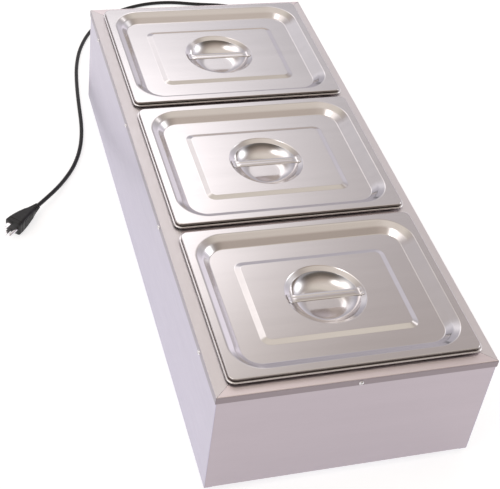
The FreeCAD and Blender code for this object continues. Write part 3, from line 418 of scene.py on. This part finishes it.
# plug: grooved sleeve, waisted grip with side ribs, flat front, two flat blades and a round pin
PLUG_HEADING = math.radians(135.4)
PLUG_FRONT = 62                          # from the plug's rear to the face with the pins
heading = Vector((math.cos(PLUG_HEADING), math.sin(PLUG_HEADING), 0))
plug_frame = Matrix((Vector((0, 0, 1)), heading.cross(Vector((0, 0, 1))), heading)).transposed().to_4x4()
plug_frame = Matrix.Translation(Vector((SHELL + CORD[-1][0], *CORD[-1][1:]))) @ plug_frame
PLUG = [  # distance from the rear, height, width, corner
    (0.0, 8.4, 8.4, 4.1), (0.5, 9.4, 9.4, 4.6), (3.2, 10.2, 10.4, 5.0), (3.5, 8.6, 8.8, 4.2), (4.7, 8.8, 9.0, 4.3),
    (5.0, 10.8, 11.2, 5.2), (7.6, 11.4, 12.0, 5.5), (7.9, 9.4, 10.0, 4.6), (9.1, 9.6, 10.4, 4.7),
    (9.4, 11.8, 12.8, 5.6), (12.0, 12.4, 13.6, 5.8), (12.3, 10.4, 11.6, 5.0), (13.5, 10.8, 12.0, 5.2),
    (13.8, 13.0, 14.6, 5.8), (17.0, 13.6, 15.8, 5.8), (20.0, 14.6, 17.6, 5.8), (24.0, 16.4, 19.4, 5.8),
    (30.0, 18.4, 21.0, 5.6), (36.0, 20.2, 22.6, 5.4), (44.0, 21.8, 24.6, 5.2), (52.0, 22.6, 26.2, 5.0),
    (55.0, 22.8, 26.6, 5.0), (55.4, 21.8, 25.6, 4.6), (56.6, 21.8, 25.6, 4.6), (57.0, 22.8, 26.8, 5.0),
    (60.8, 22.8, 26.9, 5.0), (61.6, 22.3, 26.4, 4.7), (62.0, 21.2, 25.2, 4.2),
]


def plug_ring(distance, height, width, corner):
    ring = rounded_loop(height / 2, width / 2, corner, distance)
    for spot in ring:
        grip = 26 < distance < 50 and abs(spot.y) > width / 2 - 1.0
        if grip:
            spot.y -= math.copysign(0.5 + 0.5 * math.cos(distance * 2 * math.pi / 4.0), spot.y)
    return ring


def between(rows, step):
    """More rows between the given ones, no further apart than step."""
    filled = [rows[0]]
    for lower, upper in zip(rows, rows[1:]):
        parts = max(1, math.ceil((upper[0] - lower[0]) / step))
        filled += [tuple(a + (b - a) * part / parts for a, b in zip(lower, upper)) for part in range(1, parts + 1)]
    return filled


plug = piece("plug_moulding", moved(skin([plug_ring(*row) for row in between(PLUG, 1.0)], "face", "fan"), plug_frame),
             "base", "moulded_rubber", replaced=["plug_body"])


def blade(middle_x):
    """A flat blade with a rounded tip and a round hole near it."""
    low_y, high_y, length, hole, hole_at = 0.9, 7.2, 15.8, 1.6, 11.8
    centre_y = (low_y + high_y) / 2
    inner, outer = [], []
    for index in range(48):
        angle = 2 * math.pi * index / 48
        ray = Vector((math.cos(angle), math.sin(angle)))
        inner.append(Vector((centre_y + ray.x * hole, hole_at + ray.y * hole)))
        ahead = length - hole_at if ray.y > 0 else hole_at
        reach = min((high_y - centre_y) / max(abs(ray.x), 1e-6), ahead / max(abs(ray.y), 1e-6))
        spot = Vector((centre_y + ray.x * reach, hole_at + ray.y * reach))
        tip = max(0.0, abs(spot.x - centre_y) - 1.6)
        if ray.y > 0 and spot.y > length - 1.6:
            spot.y = min(spot.y, length - tip * 0.75)
        outer.append(spot)
    loops = []
    for side, ring in ((-0.75, inner), (-0.75, outer), (0.75, outer), (0.75, inner), (-0.75, inner)):
        loops.append([Vector((middle_x + side, spot.x, PLUG_FRONT + spot.y)) for spot in ring])
    return skin(loops)


blades = soften(piece("plug_flat_blades", moved(joined([blade(-6.35), blade(6.35)]), plug_frame), "base", "brass",
                      look="fastener_steel", replaced=["plug_blades"], smooth=False), 0.2)
pin_profile = [(2.4, 0), (2.4, 15.5), (2.2, 17.4), (1.6, 18.5), (0.8, 19.0)]
pin = piece("plug_round_pin", moved(lathe(pin_profile, 32, end="fan"),
                                    plug_frame @ Matrix.Translation((0, -7.9, PLUG_FRONT))),
            "base", "brass", look="fastener_steel", replaced=["plug_earth_pin"])

# ------------------------------------------------------------------ CAD nodes that stay
# The right end wall takes the end walls' darker tint: painted shade.
NODE_LOOKS = {"water_tank": "tank_steel", "right_end_panel": "end_painted_side_shade", "heater_supports": "tank_steel",
              "base_plate": "body_steel"}
for entry in frame["record"]["subparts"]:
    name = entry["node"]
    node = frame["nodes"][name]
    node.data.materials.clear()
    node.data.materials.append(LOOKS[NODE_LOOKS.get(name, entry["material_slot"])])

# ------------------------------------------------------------------ pans
RIM_TOP = edges("pan_middle")[1].z
RIM_HIGHLIGHT_ROWS = 18                            # rows of faces in the rolled rim, up to its flat top, which take the painted highlight
for side in ("left", "middle", "right"):
    low, high = edges(f"pan_{side}")
    centre = Vector(((low.x + high.x) / 2, (low.y + high.y) / 2, 0))
    floor = low.z + SHEET
    half_y = (high.y - low.y) / 2
    stations = [(0, 132.5, half_y, 11), (4, 128.5, half_y - 4, 12), (12.5, 120, 150, 42), (25.5, 107, 137, 29),
                (60, 72.5, 102.5, 14), (110, 22.5, 52.5, 8), (131, 1.5, 31.5, 1)]
    rest = RIM_TOP - 2.0
    path = bend([(1.9, rest), (0, rest), (0, RIM_TOP), (12.2, RIM_TOP), (14.6, RIM_TOP - 21), (16.0, RIM_TOP - 24),
                 (25.5, floor), (60, floor)], [0.8, 0.9, 3.2, 1.5, 1.5, 12.0], steps=6, hold=0.1)
    path += [(110, floor + 0.5), (131, floor + 0.6)]
    loops = [contour(stations, inset, z, centre) for inset, z in path]
    pan = piece(f"pan_{side}_pressing", skin(loops, end="fan"), f"pan_{side}", "pan_steel",
                replaced=[f"pan_{side}"])
    # The rim's rows take the pale steel: a painted highlight.
    edge_look(pan, loops, RIM_HIGHLIGHT_ROWS, "pan_rim_painted_highlight")
    thicken(pan, SHEET)

# ------------------------------------------------------------------ lids and their straps
RING, MOUTH, RING_DROP, CUP_DEPTH = 53.4, 46.4, 4.0, 15.0
CUP_START = 28                           # degrees from upright at the cup's mouth
CUP_STEPS = 24
EDGE_DROP, DISH_DROP, PLATEAU_DROP = 3.3, 11.3, 9.3      # below the lid's top
EDGE_SHADE_ROWS = 4                            # rows of faces in the lid's turned-down edge, which take the painted shade
LID_HALF_Y = (edges("lid_middle")[1].y - edges("lid_middle")[0].y) / 2
LID_STATIONS = [(0, 130, LID_HALF_Y, 9), (2, 128, LID_HALF_Y - 2, 9), (11, 119, 150.5, 42), (28, 102, 133.5, 25),
                (56, 74, 104, 13), (63.5, 66.5, 96.5, 7), (66, 64, 94, 6)]


def pressing_shares(index):
    """How much of the three wall profiles a point of a rounded loop takes: crisp, round and corner."""
    quarter, place = divmod(index, CORNER_STEPS + SIDE_STEPS)
    if place >= CORNER_STEPS:
        return (0, 1, 0) if quarter in (0, 3) else (1, 0, 0)
    corner = math.sin(math.pi * place / CORNER_STEPS) ** 0.7
    turned = place / CORNER_STEPS
    sides = {0: (1, 1), 1: (1, 0), 2: (0, 0), 3: (0, 1)}[quarter]
    rounder = (sides[0] * (1 - turned) + sides[1] * turned) * (1 - corner)
    return 1 - corner - rounder, rounder, corner


def strap_shape(centre, rim):
    """A strap that lies flat across the cup, with its ends turned up on the ring's slope."""
    reach, half, thick = 50.5, 7.25, 1.2
    slope = RING_DROP / (RING - MOUTH)
    columns = [-1, -0.97, -0.9, -0.78, -0.62, -0.5, -0.42, -0.36, -0.30, -0.24, -0.18, -0.12, -0.06, 0]
    columns += [-column for column in reversed(columns[:-1])]
    rows = [-reach + 0.45 * step for step in range(15)] + [-44 + 88 * step / 60 for step in range(61)]
    rows += [reach - 0.45 * step for step in reversed(range(15))]
    loops = []
    for y in rows:
        away = abs(y)
        lift = max(0.0, away - MOUTH) * slope
        if abs(away - MOUTH) < 1.5:
            lift = (away - MOUTH + 1.5) ** 2 / 6 * slope
        fade = min(1.0, max(0.0, (43.0 - away) / 4))
        width = half * (1 - 0.07 * fade) * (1 - 0.05 * max(0.0, away - reach + 1.2) ** 2)
        over, under = [], []
        for column in columns:
            x = column * width
            groove = 0.55 * fade * math.exp(-((x - 1.2) / 0.8) ** 2)
            crown = 0.5 * fade * (1 - column * column)
            edge = 0.5 * max(0.0, (abs(column) - 0.9) / 0.1) ** 2
            dent = 0.0
            if away > MOUTH:
                dent = 0.45 * max(0.0, 1 - (math.hypot(abs(x) - 3.4, away - 48.6) / 1.3) ** 2)
            height = rim + 0.4 + lift
            over.append(centre + Vector((x, y, height + thick + crown - groove - edge - dent)))
            under.append(centre + Vector((x, y, height + crown * 0.6)))
        loops.append(over + under[::-1])
    return skin(loops, "face", "face")


for side in ("left", "middle", "right"):
    low, high = edges(f"lid_{side}")
    centre = Vector(((low.x + high.x) / 2, (low.y + high.y) / 2, 0))
    top = high.z
    dish, plateau = top - DISH_DROP, top - PLATEAU_DROP
    rim = plateau - RING_DROP
    wall = [(0.15, top - EDGE_DROP), (0, top), (11, top), (19.5, top - 5.75), (28, dish), (56, dish), (63.5, plateau),
            (66, plateau)]
    rounder, in_corner = wall[:3] + [(19.5, top - 4.6)] + wall[4:], wall[:3] + [(19.5, top - 4.1)] + wall[4:]
    paths = [bend(wall, [1.0, 1.6, 80.0, 1.6, 2.5, 1.8], steps=7, hold=0.2),
             bend(rounder, [1.0, 7.0, 20.0, 1.6, 2.5, 1.8], steps=7, hold=0.2),
             bend(in_corner, [1.0, 3.0, 14.0, 1.6, 2.5, 1.8], steps=7, hold=0.2)]
    loops = []
    for spots in zip(*paths):
        variants = [contour(LID_STATIONS, inset, z, centre) for inset, z in spots]
        loops.append([sum((spot * share for spot, share in zip(points, pressing_shares(index))), Vector())
                      for index, points in enumerate(zip(*variants))])
    pattern = [spot - centre for spot in loops[-1]]
    round_path = bend([(57, plateau), (RING, plateau), (RING - 0.9, plateau - 0.7), (MOUTH, rim),
                       (MOUTH - 0.9, rim - 1.6)], [0.5, 0.5, 0.6], hold=0.15)[:-1]
    start = math.radians(CUP_START)
    wide = CUP_DEPTH / (1 - math.sin(start))
    for step in range(1, CUP_STEPS + 1):
        angle = start + (math.pi / 2 - start) * step / CUP_STEPS
        round_path.append((MOUTH - wide * (math.cos(start) - math.cos(angle)),
                           rim + wide * (math.sin(start) - math.sin(angle))))
    flat = MOUTH - wide * math.cos(start)
    round_path += [(flat * 0.7, rim - CUP_DEPTH), (flat * 0.35, rim - CUP_DEPTH)]
    loops += [circle_loop(pattern, radius, z, centre) for radius, z in round_path]
    lid = piece(f"lid_{side}_pressing", skin(loops, end="fan"), f"lid_{side}", "lid_steel",
                replaced=[f"lid_{side}"])
    # The turned-down edge takes the dark steel: painted shade.
    edge_look(lid, loops, EDGE_SHADE_ROWS, "lid_edge_painted_shade")
    thicken(lid, SHEET)
    piece(f"strap_{side}", strap_shape(centre, rim), f"lid_{side}", "lid_steel", replaced=[f"lid_handle_{side}"])

# ------------------------------------------------------------------ top frame
FRAME_TOP = edges("top_rail_front")[1].z
SKIRT = edges("top_rail_front")[0].z
HALF_X = (edges("top_rail_front")[1].x - edges("top_rail_front")[0].x) / 2
HALF_Y = edges("top_rail_left")[1].y
STRIP_X = edges("top_rail_left")[1].x - edges("top_rail_left")[0].x
STRIP_Y = edges("top_rail_front")[1].y - edges("top_rail_front")[0].y
SEAM = 0.14


def rail_profile(width):
    outer = bend([(0, SKIRT), (0, FRAME_TOP), (width, FRAME_TOP)], [1.3])
    inner = bend([(width, FRAME_TOP - 1), (1, FRAME_TOP - 1), (1, SKIRT)], [0.3], steps=2)
    return [tuple(point) for point in outer + inner]


def rail_end(side, turn_of, end):
    """One mitred end of a rail; side picks the rail, end is -1 or 1."""
    def place(depth, height):
        if turn_of == "x":
            return Vector((SHELL + end * (HALF_X - depth * STRIP_X / STRIP_Y - SEAM),
                           side * (HALF_Y - depth), height))
        return Vector((SHELL + side * (HALF_X - depth),
                       end * (HALF_Y - depth * STRIP_Y / STRIP_X - SEAM), height))
    return place


for name, side, turn_of in (("front", -1, "x"), ("rear", 1, "x"), ("left", -1, "y"), ("right", 1, "y")):
    profile = rail_profile(STRIP_Y if turn_of == "x" else STRIP_X)
    order = (-1, 1) if (turn_of == "x") == (side < 0) else (1, -1)
    if turn_of == "y":
        order = order[::-1]
    # Each strip takes the tint of its direction: painted light and shade.
    rail = piece(f"frame_{name}", extruded(profile, [rail_end(side, turn_of, end) for end in order]),
                 "base", "body_steel", look=f"rail_{turn_of}_steel", replaced=[f"top_rail_{name}"])
    # The rails' steep faces take the dark skirt steel: painted shade.
    rail.data.materials.append(LOOKS[f"skirt_{turn_of}_steel"])
    for polygon in rail.data.polygons:
        if abs(polygon.normal.z) < 0.5:
            polygon.material_index = 1
    soften(rail, 0.18)

for side in ("left", "right"):
    low, high = edges(f"divider_bar_{side}")
    profile = bend([(low.x, low.z), (low.x, high.z), (high.x, high.z), (high.x, low.z)], [1.3, 1.3])
    profile += bend([(high.x - 1, low.z), (high.x - 1, high.z - 1), (low.x + 1, high.z - 1), (low.x + 1, low.z)],
                    [0.4, 0.4], steps=2)
    reach = HALF_Y - STRIP_Y - SEAM
    ends = [lambda across, height, y=y: Vector((across, y, height)) for y in (-reach, reach)]
    soften(piece(f"divider_{side}", extruded([tuple(point) for point in profile], ends), "base", "body_steel",
                 look="rail_y_steel", replaced=[f"divider_bar_{side}"]), 0.15)

# ------------------------------------------------------------------ walls
PANEL_LOW, PANEL_HIGH = edges("front_panel")[0].z, edges("front_panel")[1].z


def panel_profile(lip):
    outer = bend([(0, PANEL_HIGH), (0, PANEL_LOW), (lip, PANEL_LOW)], [1.3])
    inner = bend([(lip, PANEL_LOW + 1), (1, PANEL_LOW + 1), (1, PANEL_HIGH)], [0.3], steps=2)
    return [tuple(point) for point in outer + inner]


WALL_X, WALL_Y = HALF_X - 1, HALF_Y - 1
# The long walls take the lighter lavender tint and the left end wall the darker one: painted light and shade by side.
for name, side in (("front", -1), ("rear", 1)):
    ends = [lambda depth, height, x=x, side=side: Vector((SHELL + x, side * (WALL_Y - depth), height))
            for x in ((WALL_X, -WALL_X) if side < 0 else (-WALL_X, WALL_X))]
    soften(piece(f"wall_{name}", extruded(panel_profile(11), ends), "base", "body_steel",
                 replaced=[f"{name}_panel"]), 0.25)
ends = [lambda depth, height, y=y: Vector((SHELL - WALL_X + depth, y, height)) for y in (1 - WALL_Y, WALL_Y - 1)]
soften(piece("wall_left_end", extruded(panel_profile(11), ends[::-1]), "base", "body_steel", look="end_painted_side_shade",
             replaced=["left_end_panel"]), 0.25)


# ------------------------------------------------------------------ screws
def cross_screw(head, crown, depth):
    """The domed head of a screw with a cross recess, standing on Z = 0."""
    loops = []
    rings, segments = 14, 40
    for index in range(rings + 1):
        part = 1 - index / rings
        radius = max(head * part, 0.02)
        height = crown * (1 - part ** 2.6) + 0.45 * min(1, (1 - part) * 12)
        loop = []
        for step in range(segments):
            angle = 2 * math.pi * step / segments
            x, y = math.cos(angle) * radius, math.sin(angle) * radius
            arm = min(abs(x), abs(y)) < head * 0.15 and radius < head * 0.62
            loop.append(Vector((x, y, height - (depth if arm else 0))))
        loops.append(loop)
    base = [Vector((spot.x, spot.y, 0)) for spot in loops[0]]
    return skin([base] + loops, end="fan")


SCREW_Z = middle("rail_screws").z
FRAME_SCREW = cross_screw(head=3.3, crown=1.9, depth=1.1)
heads = []
for x in (-343, -114, 114, 343):
    for side in (-1, 1):
        heads.append(moved(FRAME_SCREW, along((0, side, 0), (SHELL + x, side * HALF_Y, SCREW_Z))))
for side in (-1, 1):
    heads.append(moved(FRAME_SCREW, along((side, 0, 0), (SHELL + side * HALF_X, 0, SCREW_Z))))
piece("frame_screws", joined(heads), "base", "fastener_steel", replaced=["rail_screws"])

# ------------------------------------------------------------------ feet
FOOT = [(5.5, 5.0), (5.5, 0.6), (6.1, 0), (14.0, 0), (14.8, 0.5), (15.0, 1.2), (15.0, 3.0), (14.5, 3.6), (14.3, 4.2),
        (14.6, 4.8), (14.4, 7.0), (13.9, 7.6), (13.7, 8.2), (13.9, 8.8), (13.2, 11.9), (12.8, 12.0)]
for index in range(1, 5):
    spot = middle(f"foot_{index}")
    piece(f"rubber_foot_{index}", moved(lathe(FOOT, 64, start="fan", end="face"),
                                        Matrix.Translation((spot.x, spot.y, 0))),
          "base", "foot_rubber", replaced=[f"foot_{index}"])

# ------------------------------------------------------------------ controls on the right end
knob_low, knob_high = edges("control_knob")
knob_y, knob_z = middle("control_knob").y, middle("control_knob").z
length = knob_high.x - knob_low.x


def fluted(angle, radius, height):
    grip = min(1.0, max(0.0, (height - 2.6) / 1.2)) if height < length - 1.6 else 0.0
    return radius - 0.55 * grip * (0.5 + 0.5 * math.cos(26 * angle)) ** 2


profile = [(14.0, 0.6), (17.9, 0.0), (18.4, 0.3), (18.5, 1.6), (18.1, 2.2), (16.6, 2.6), (16.2, 3.2), (16.0, 4.0)]
profile += [(16.0 - 0.9 * step / 8, 4.0 + (length - 6.0) * step / 8) for step in range(1, 9)]
profile += [(14.9, length - 1.5), (14.4, length - 0.7), (13.6, length - 0.15), (12.6, length), (9.0, length - 0.2),
            (4.0, length - 0.35)]
piece("knob_grip", moved(lathe(profile, 260, fluted, "face", "fan"), along((1, 0, 0), (knob_low.x, knob_y, knob_z))),
      "knob", "black_plastic", replaced=["control_knob"])


def bar(half_y, half_z, bottom, top, corner):
    """A small raised bar on an end face: its loops grow from bottom to top along X."""
    sizes = [(half_y, half_z, bottom), (half_y, half_z, top - 0.15), (half_y - 0.12, half_z - 0.12, top)]
    return skin([[Vector((h, a, b)) for a, b, _ in rounded_loop(y, z, min(corner, y, z) * 0.98, 0)]
                 for y, z, h in sizes], "face", "face")


OFF_ANGLE = math.radians(225)            # the pointer's rest, seen from outside with +Y to the right


def clock(radius, angle):
    """A place round the knob's axis; the angle grows clockwise from the top, seen from outside."""
    return knob_y + radius * math.sin(angle), knob_z + radius * math.cos(angle)


y, z = clock(9.6, OFF_ANGLE)
turned = Matrix.Translation((knob_high.x, y, z)) @ Matrix.Rotation(-OFF_ANGLE, 4, "X")
piece("knob_pointer", moved(bar(0.8, 3.6, -0.5, 0.12, 0.7), turned), "knob", "black_plastic", look="white_mark")

dial_x = edges("dial_plate")[1].x
profile = [(4.4, 0.0), (4.4, 0.85), (4.6, 1.0), (25.4, 1.0), (25.8, 0.9), (26.0, 0.6), (26.0, 0.0)]
piece("dial_disc", moved(lathe(profile, 96), along((1, 0, 0), (dial_x - 1, knob_y, knob_z))),
      "base", "dial_aluminium", replaced=["dial_plate"])
marks = []
for step in range(28):
    angle = OFF_ANGLE + math.radians(10 * step)
    major = step % 3 == 0
    y, z = clock(24.3 if major else 24.7, angle)
    placed = Matrix.Translation((dial_x, y, z)) @ Matrix.Rotation(-angle, 4, "X")
    marks.append(moved(bar(0.28 if major else 0.16, 1.1 if major else 0.6, -0.1, 0.05, 0.2), placed))
piece("dial_marks", joined(marks), "base", "dial_aluminium", look="black_mark")
for digit in range(10):
    angle = OFF_ANGLE + math.radians(30 * digit)
    y, z = clock(21.0, angle)
    text = bpy.data.curves.new(f"dial_digit_{digit}", "FONT")
    text.body = str(digit)
    text.size = 3.0 * MM
    text.align_x, text.align_y = "CENTER", "CENTER"
    text.extrude = 0.03 * MM
    digit_obj = bpy.data.objects.new(f"dial_digit_{digit}", text)
    digit_obj.matrix_world = Matrix.Translation(Vector((dial_x + 0.04, y, z)) * MM) @ Matrix(
        ((0, 0, 1, 0), (1, 0, 0, 0), (0, 1, 0, 0), (0, 0, 0, 1)))
    finish_piece(digit_obj, "base", "dial_aluminium", "black_mark", ())
heads = [moved(cross_screw(head=2.6, crown=1.2, depth=0.7), along((1, 0, 0), (dial_x, knob_y + 22.5 * side, knob_z)))
         for side in (-1, 1)]
piece("dial_screw_heads", joined(heads), "base", "fastener_steel", replaced=["dial_screws"])

# pilot lamp: a steel bezel and a ribbed amber dome
lamp_y, lamp_z = middle("pilot_lamp_lens").y, middle("pilot_lamp_lens").z
lamp_place = along((1, 0, 0), (wall_x, lamp_y, lamp_z))
profile = [(5.2, 0), (7.4, 0), (7.6, 0.3), (7.2, 1.3), (6.3, 1.7), (5.5, 1.4), (5.2, 1.0)]
piece("lamp_bezel", moved(lathe(profile, 64), lamp_place), "base", "fastener_steel")
profile = [(5.3, 0.0), (5.3, 1.2)]
profile += [(5.0 * math.cos(math.radians(step * 10)), 1.4 + 3.4 * math.sin(math.radians(step * 10)))
            for step in range(9)]
piece("lamp_dome", moved(lathe(profile, 64, lambda a, r, h: r - 0.12 * (h > 0.5) * math.cos(16 * a) ** 2 * r / 5,
                               "face", "fan"), lamp_place),
      "base", "lamp_lens", replaced=["pilot_lamp_lens"])

# rocker switch: a rounded bezel over the housing's edge, and the rocker with its two marks
switch_y, switch_z = middle("rocker_pin").y, middle("rocker_pin").z
bezel = []
for half_y, half_z, corner, height in ((12.7, 15.7, 1.8, 0), (12.7, 15.7, 1.8, 1.6), (12.2, 15.2, 1.6, 2.4),
                                       (11.4, 14.4, 1.4, 2.7), (8.7, 13.1, 1.0, 2.7), (8.1, 12.5, 0.6, 2.3),
                                       (7.95, 12.35, 0.4, 1.4), (7.95, 12.35, 0.4, 0.0)):
    bezel.append([Vector((wall_x + height, switch_y + a, switch_z + b))
                  for a, b, _ in rounded_loop(half_y, half_z, corner, 0)])
piece("switch_bezel", skin(bezel), "base", "black_plastic")
axis = middle("rocker_pin")
tilt = Matrix.Translation(axis) @ Matrix.Rotation(math.radians(10), 4, "Y")
outline = [(-2.0, -9.2), (4.4, -11.2), (6.0, -11.3), (6.6, -10.8)]
outline += [(4.6 + 2.0 * (step / 8) ** 2, -10.8 * -step / 8) for step in range(-8, 9)][1:-1]
outline += [(6.6, 10.8), (6.0, 11.3), (4.4, 11.2), (-2.0, 9.2)]
outline += [(9 * math.cos(math.radians(angle)), 9 * math.sin(math.radians(angle))) for angle in range(110, 251, 20)]
rocker = [[tilt @ Vector((x, y, z)) for x, z in outline] for y in (7.6, -7.6)]
soften(piece("rocker_key", skin(rocker, "face", "face"), "rocker", "black_plastic",
             replaced=["rocker_button"]), 0.5, 3)
mark = tilt @ Matrix.Translation((5.75, 0, 6.6)) @ Matrix.Rotation(math.radians(15), 4, "Y")
circle = []
for radius, height in ((1.5, 0.0), (2.1, 0.0), (2.1, 0.22), (1.5, 0.22), (1.5, 0.0)):
    circle.append([mark @ Vector((height, radius * math.cos(2 * math.pi * step / 40),
                                  radius * math.sin(2 * math.pi * step / 40))) for step in range(40)])
piece("rocker_mark_off", skin(circle), "rocker", "black_plastic", look="white_mark")
mark = tilt @ Matrix.Translation((5.75, 0, -6.6)) @ Matrix.Rotation(math.radians(-15), 4, "Y")
piece("rocker_mark_on", moved(bar(0.35, 2.1, -0.2, 0.22, 0.2), mark), "rocker", "black_plastic", look="white_mark")

# ------------------------------------------------------------------ studio
floor_mesh = bpy.data.meshes.new("floor")
FLOOR_HALF, FLOOR_Z = 30, -0.0003        # in metres
floor_mesh.from_pydata([(x * FLOOR_HALF, y * FLOOR_HALF, FLOOR_Z) for x, y in ((-1, -1), (1, -1), (1, 1), (-1, 1))],
                       [], [(0, 1, 2, 3)])
floor_obj = bpy.data.objects.new("floor", floor_mesh)
scene.collection.objects.link(floor_obj)
paper = Look("paper", Specular_IOR_Level=0.2)
paper.colours(paper.noise(3, detail=2), (0.3, colour(190, 190, 191)), (0.7, colour(196, 196, 196)))
paper.rough(paper.noise(40), 0.85, 0.95)
paper.surface.inputs["Emission Color"].default_value = (1, 1, 1, 1)
paper.surface.inputs["Emission Strength"].default_value = 0.72
floor_obj.data.materials.append(paper.material)

world = bpy.data.worlds.new("studio")
scene.world = world
world.use_nodes = True
sky = world.node_tree
direction = sky.nodes.new("ShaderNodeTexCoord").outputs["Generated"]


def sky_dot(x, y, z):
    """How far a direction of the sky points along a given one."""
    node = sky.nodes.new("ShaderNodeVectorMath")
    node.operation = "DOT_PRODUCT"
    sky.links.new(direction, node.inputs[0])
    node.inputs[1].default_value = Vector((x, y, z)).normalized()
    return node.outputs["Value"]


def sky_math(operation, first, second):
    node = sky.nodes.new("ShaderNodeMath")
    node.operation = operation
    for socket, amount in zip(node.inputs, (first, second)):
        if isinstance(amount, (int, float)):
            socket.default_value = amount
        else:
            sky.links.new(amount, socket)
    return node.outputs["Value"]


def sky_ramp(factor, stops):
    """Colours by elevation in degrees."""
    ramp = sky.nodes.new("ShaderNodeValToRGB")
    while len(ramp.color_ramp.elements) < len(stops):
        ramp.color_ramp.elements.new(0.5)
    for element, (elevation, *shade) in zip(ramp.color_ramp.elements, stops):
        element.position = (math.sin(math.radians(elevation)) + 0.1) / 1.1
        element.color = (*shade, 1)
    sky.links.new(factor, ramp.inputs["Fac"])
    return ramp.outputs["Color"]


def glow(aim, sharpness, strength, shade, under):
    """Adds a soft round light in a direction to the colours under it."""
    fall = sky_math("MULTIPLY", sky_math("SUBTRACT", sky_dot(*aim), 1.0), sharpness)
    amount = sky_math("MULTIPLY", sky_math("EXPONENT", fall, 0.0), strength)
    tinted = sky.nodes.new("ShaderNodeVectorMath")
    tinted.operation = "SCALE"
    tinted.inputs[0].default_value = shade
    sky.links.new(amount, tinted.inputs["Scale"])
    total = sky.nodes.new("ShaderNodeVectorMath")
    sky.links.new(under, total.inputs[0])
    sky.links.new(tinted.outputs[0], total.inputs[1])
    return total.outputs[0]


height = sky_math("DIVIDE", sky_math("ADD", sky_dot(0, 0, 1), 0.1), 1.1)
far_side = sky_ramp(height, [(-4, 0.10, 0.09, 0.09), (0, 0.05, 0.05, 0.05), (3, 0.10, 0.10, 0.10),
                             (7, 0.48, 0.46, 0.50), (20, 0.50, 0.48, 0.52), (30, 0.50, 0.48, 0.50),
                             (40, 0.50, 0.46, 0.455), (46, 0.45, 0.40, 0.38), (54, 0.52, 0.47, 0.42),
                             (66, 0.76, 0.70, 0.62), (90, 0.80, 0.73, 0.66)])
near_side = sky_ramp(height, [(-4, 0.34, 0.33, 0.33), (13, 0.34, 0.33, 0.33), (21, 0.13, 0.115, 0.10),
                              (35, 0.18, 0.15, 0.125), (50, 0.38, 0.325, 0.28), (63, 0.58, 0.505, 0.445),
                              (76, 0.68, 0.61, 0.55), (90, 0.80, 0.73, 0.66)])
side = sky.nodes.new("ShaderNodeMapRange")
side.interpolation_type = "SMOOTHSTEP"
side.inputs["From Min"].default_value, side.inputs["From Max"].default_value = -0.35, 0.35
sky.links.new(sky_dot(0.933, -0.361, 0), side.inputs["Value"])
blend = sky.nodes.new("ShaderNodeMix")
blend.data_type = "RGBA"
sky.links.new(side.outputs["Result"], blend.inputs["Factor"])
sky.links.new(near_side, blend.inputs["A"])
sky.links.new(far_side, blend.inputs["B"])
light = blend.outputs["Result"]
light = glow((0.754, -0.133, 0.643), 98, 1.5, (1, 0.98, 0.99), light)
light = glow((0.655, 0.06, 0.753), 150, 1.0, (1, 0.98, 0.98), light)
light = glow((0.643, -0.766, 0.04), 20, 0.62, (0.97, 0.9, 1.0), light)
light = glow((0.83, 0.08, 0.55), 120, 0.45, (1, 0.98, 0.99), light)
light = glow((0.83, 0.30, 0.47), 45, 0.30, (0.98, 0.96, 1), light)
light = glow((-0.25, 0.47, 0.85), 70, 2.6, (1, 1, 1), light)
light = glow((0.0, -0.92, 0.40), 45, 2.6, (0.98, 1, 1), light)
light = glow((0.40, -0.62, 0.67), 400, 1.2, (1, 1, 1), light)
light = glow((0.0, 0.80, 0.60), 16, 1.6, (1, 0.98, 0.98), light)
paper_white = sky.nodes.new("ShaderNodeMix")   # the studio's backdrop itself is plain and pale
paper_white.data_type = "RGBA"
paper_white.inputs["B"].default_value = (1, 1, 1, 1)
sky.links.new(sky.nodes.new("ShaderNodeLightPath").outputs["Is Camera Ray"], paper_white.inputs["Factor"])
sky.links.new(light, paper_white.inputs["A"])
background = sky.nodes["Background"]
background.inputs["Strength"].default_value = 1.0
sky.links.new(paper_white.outputs["Result"], background.inputs["Color"])
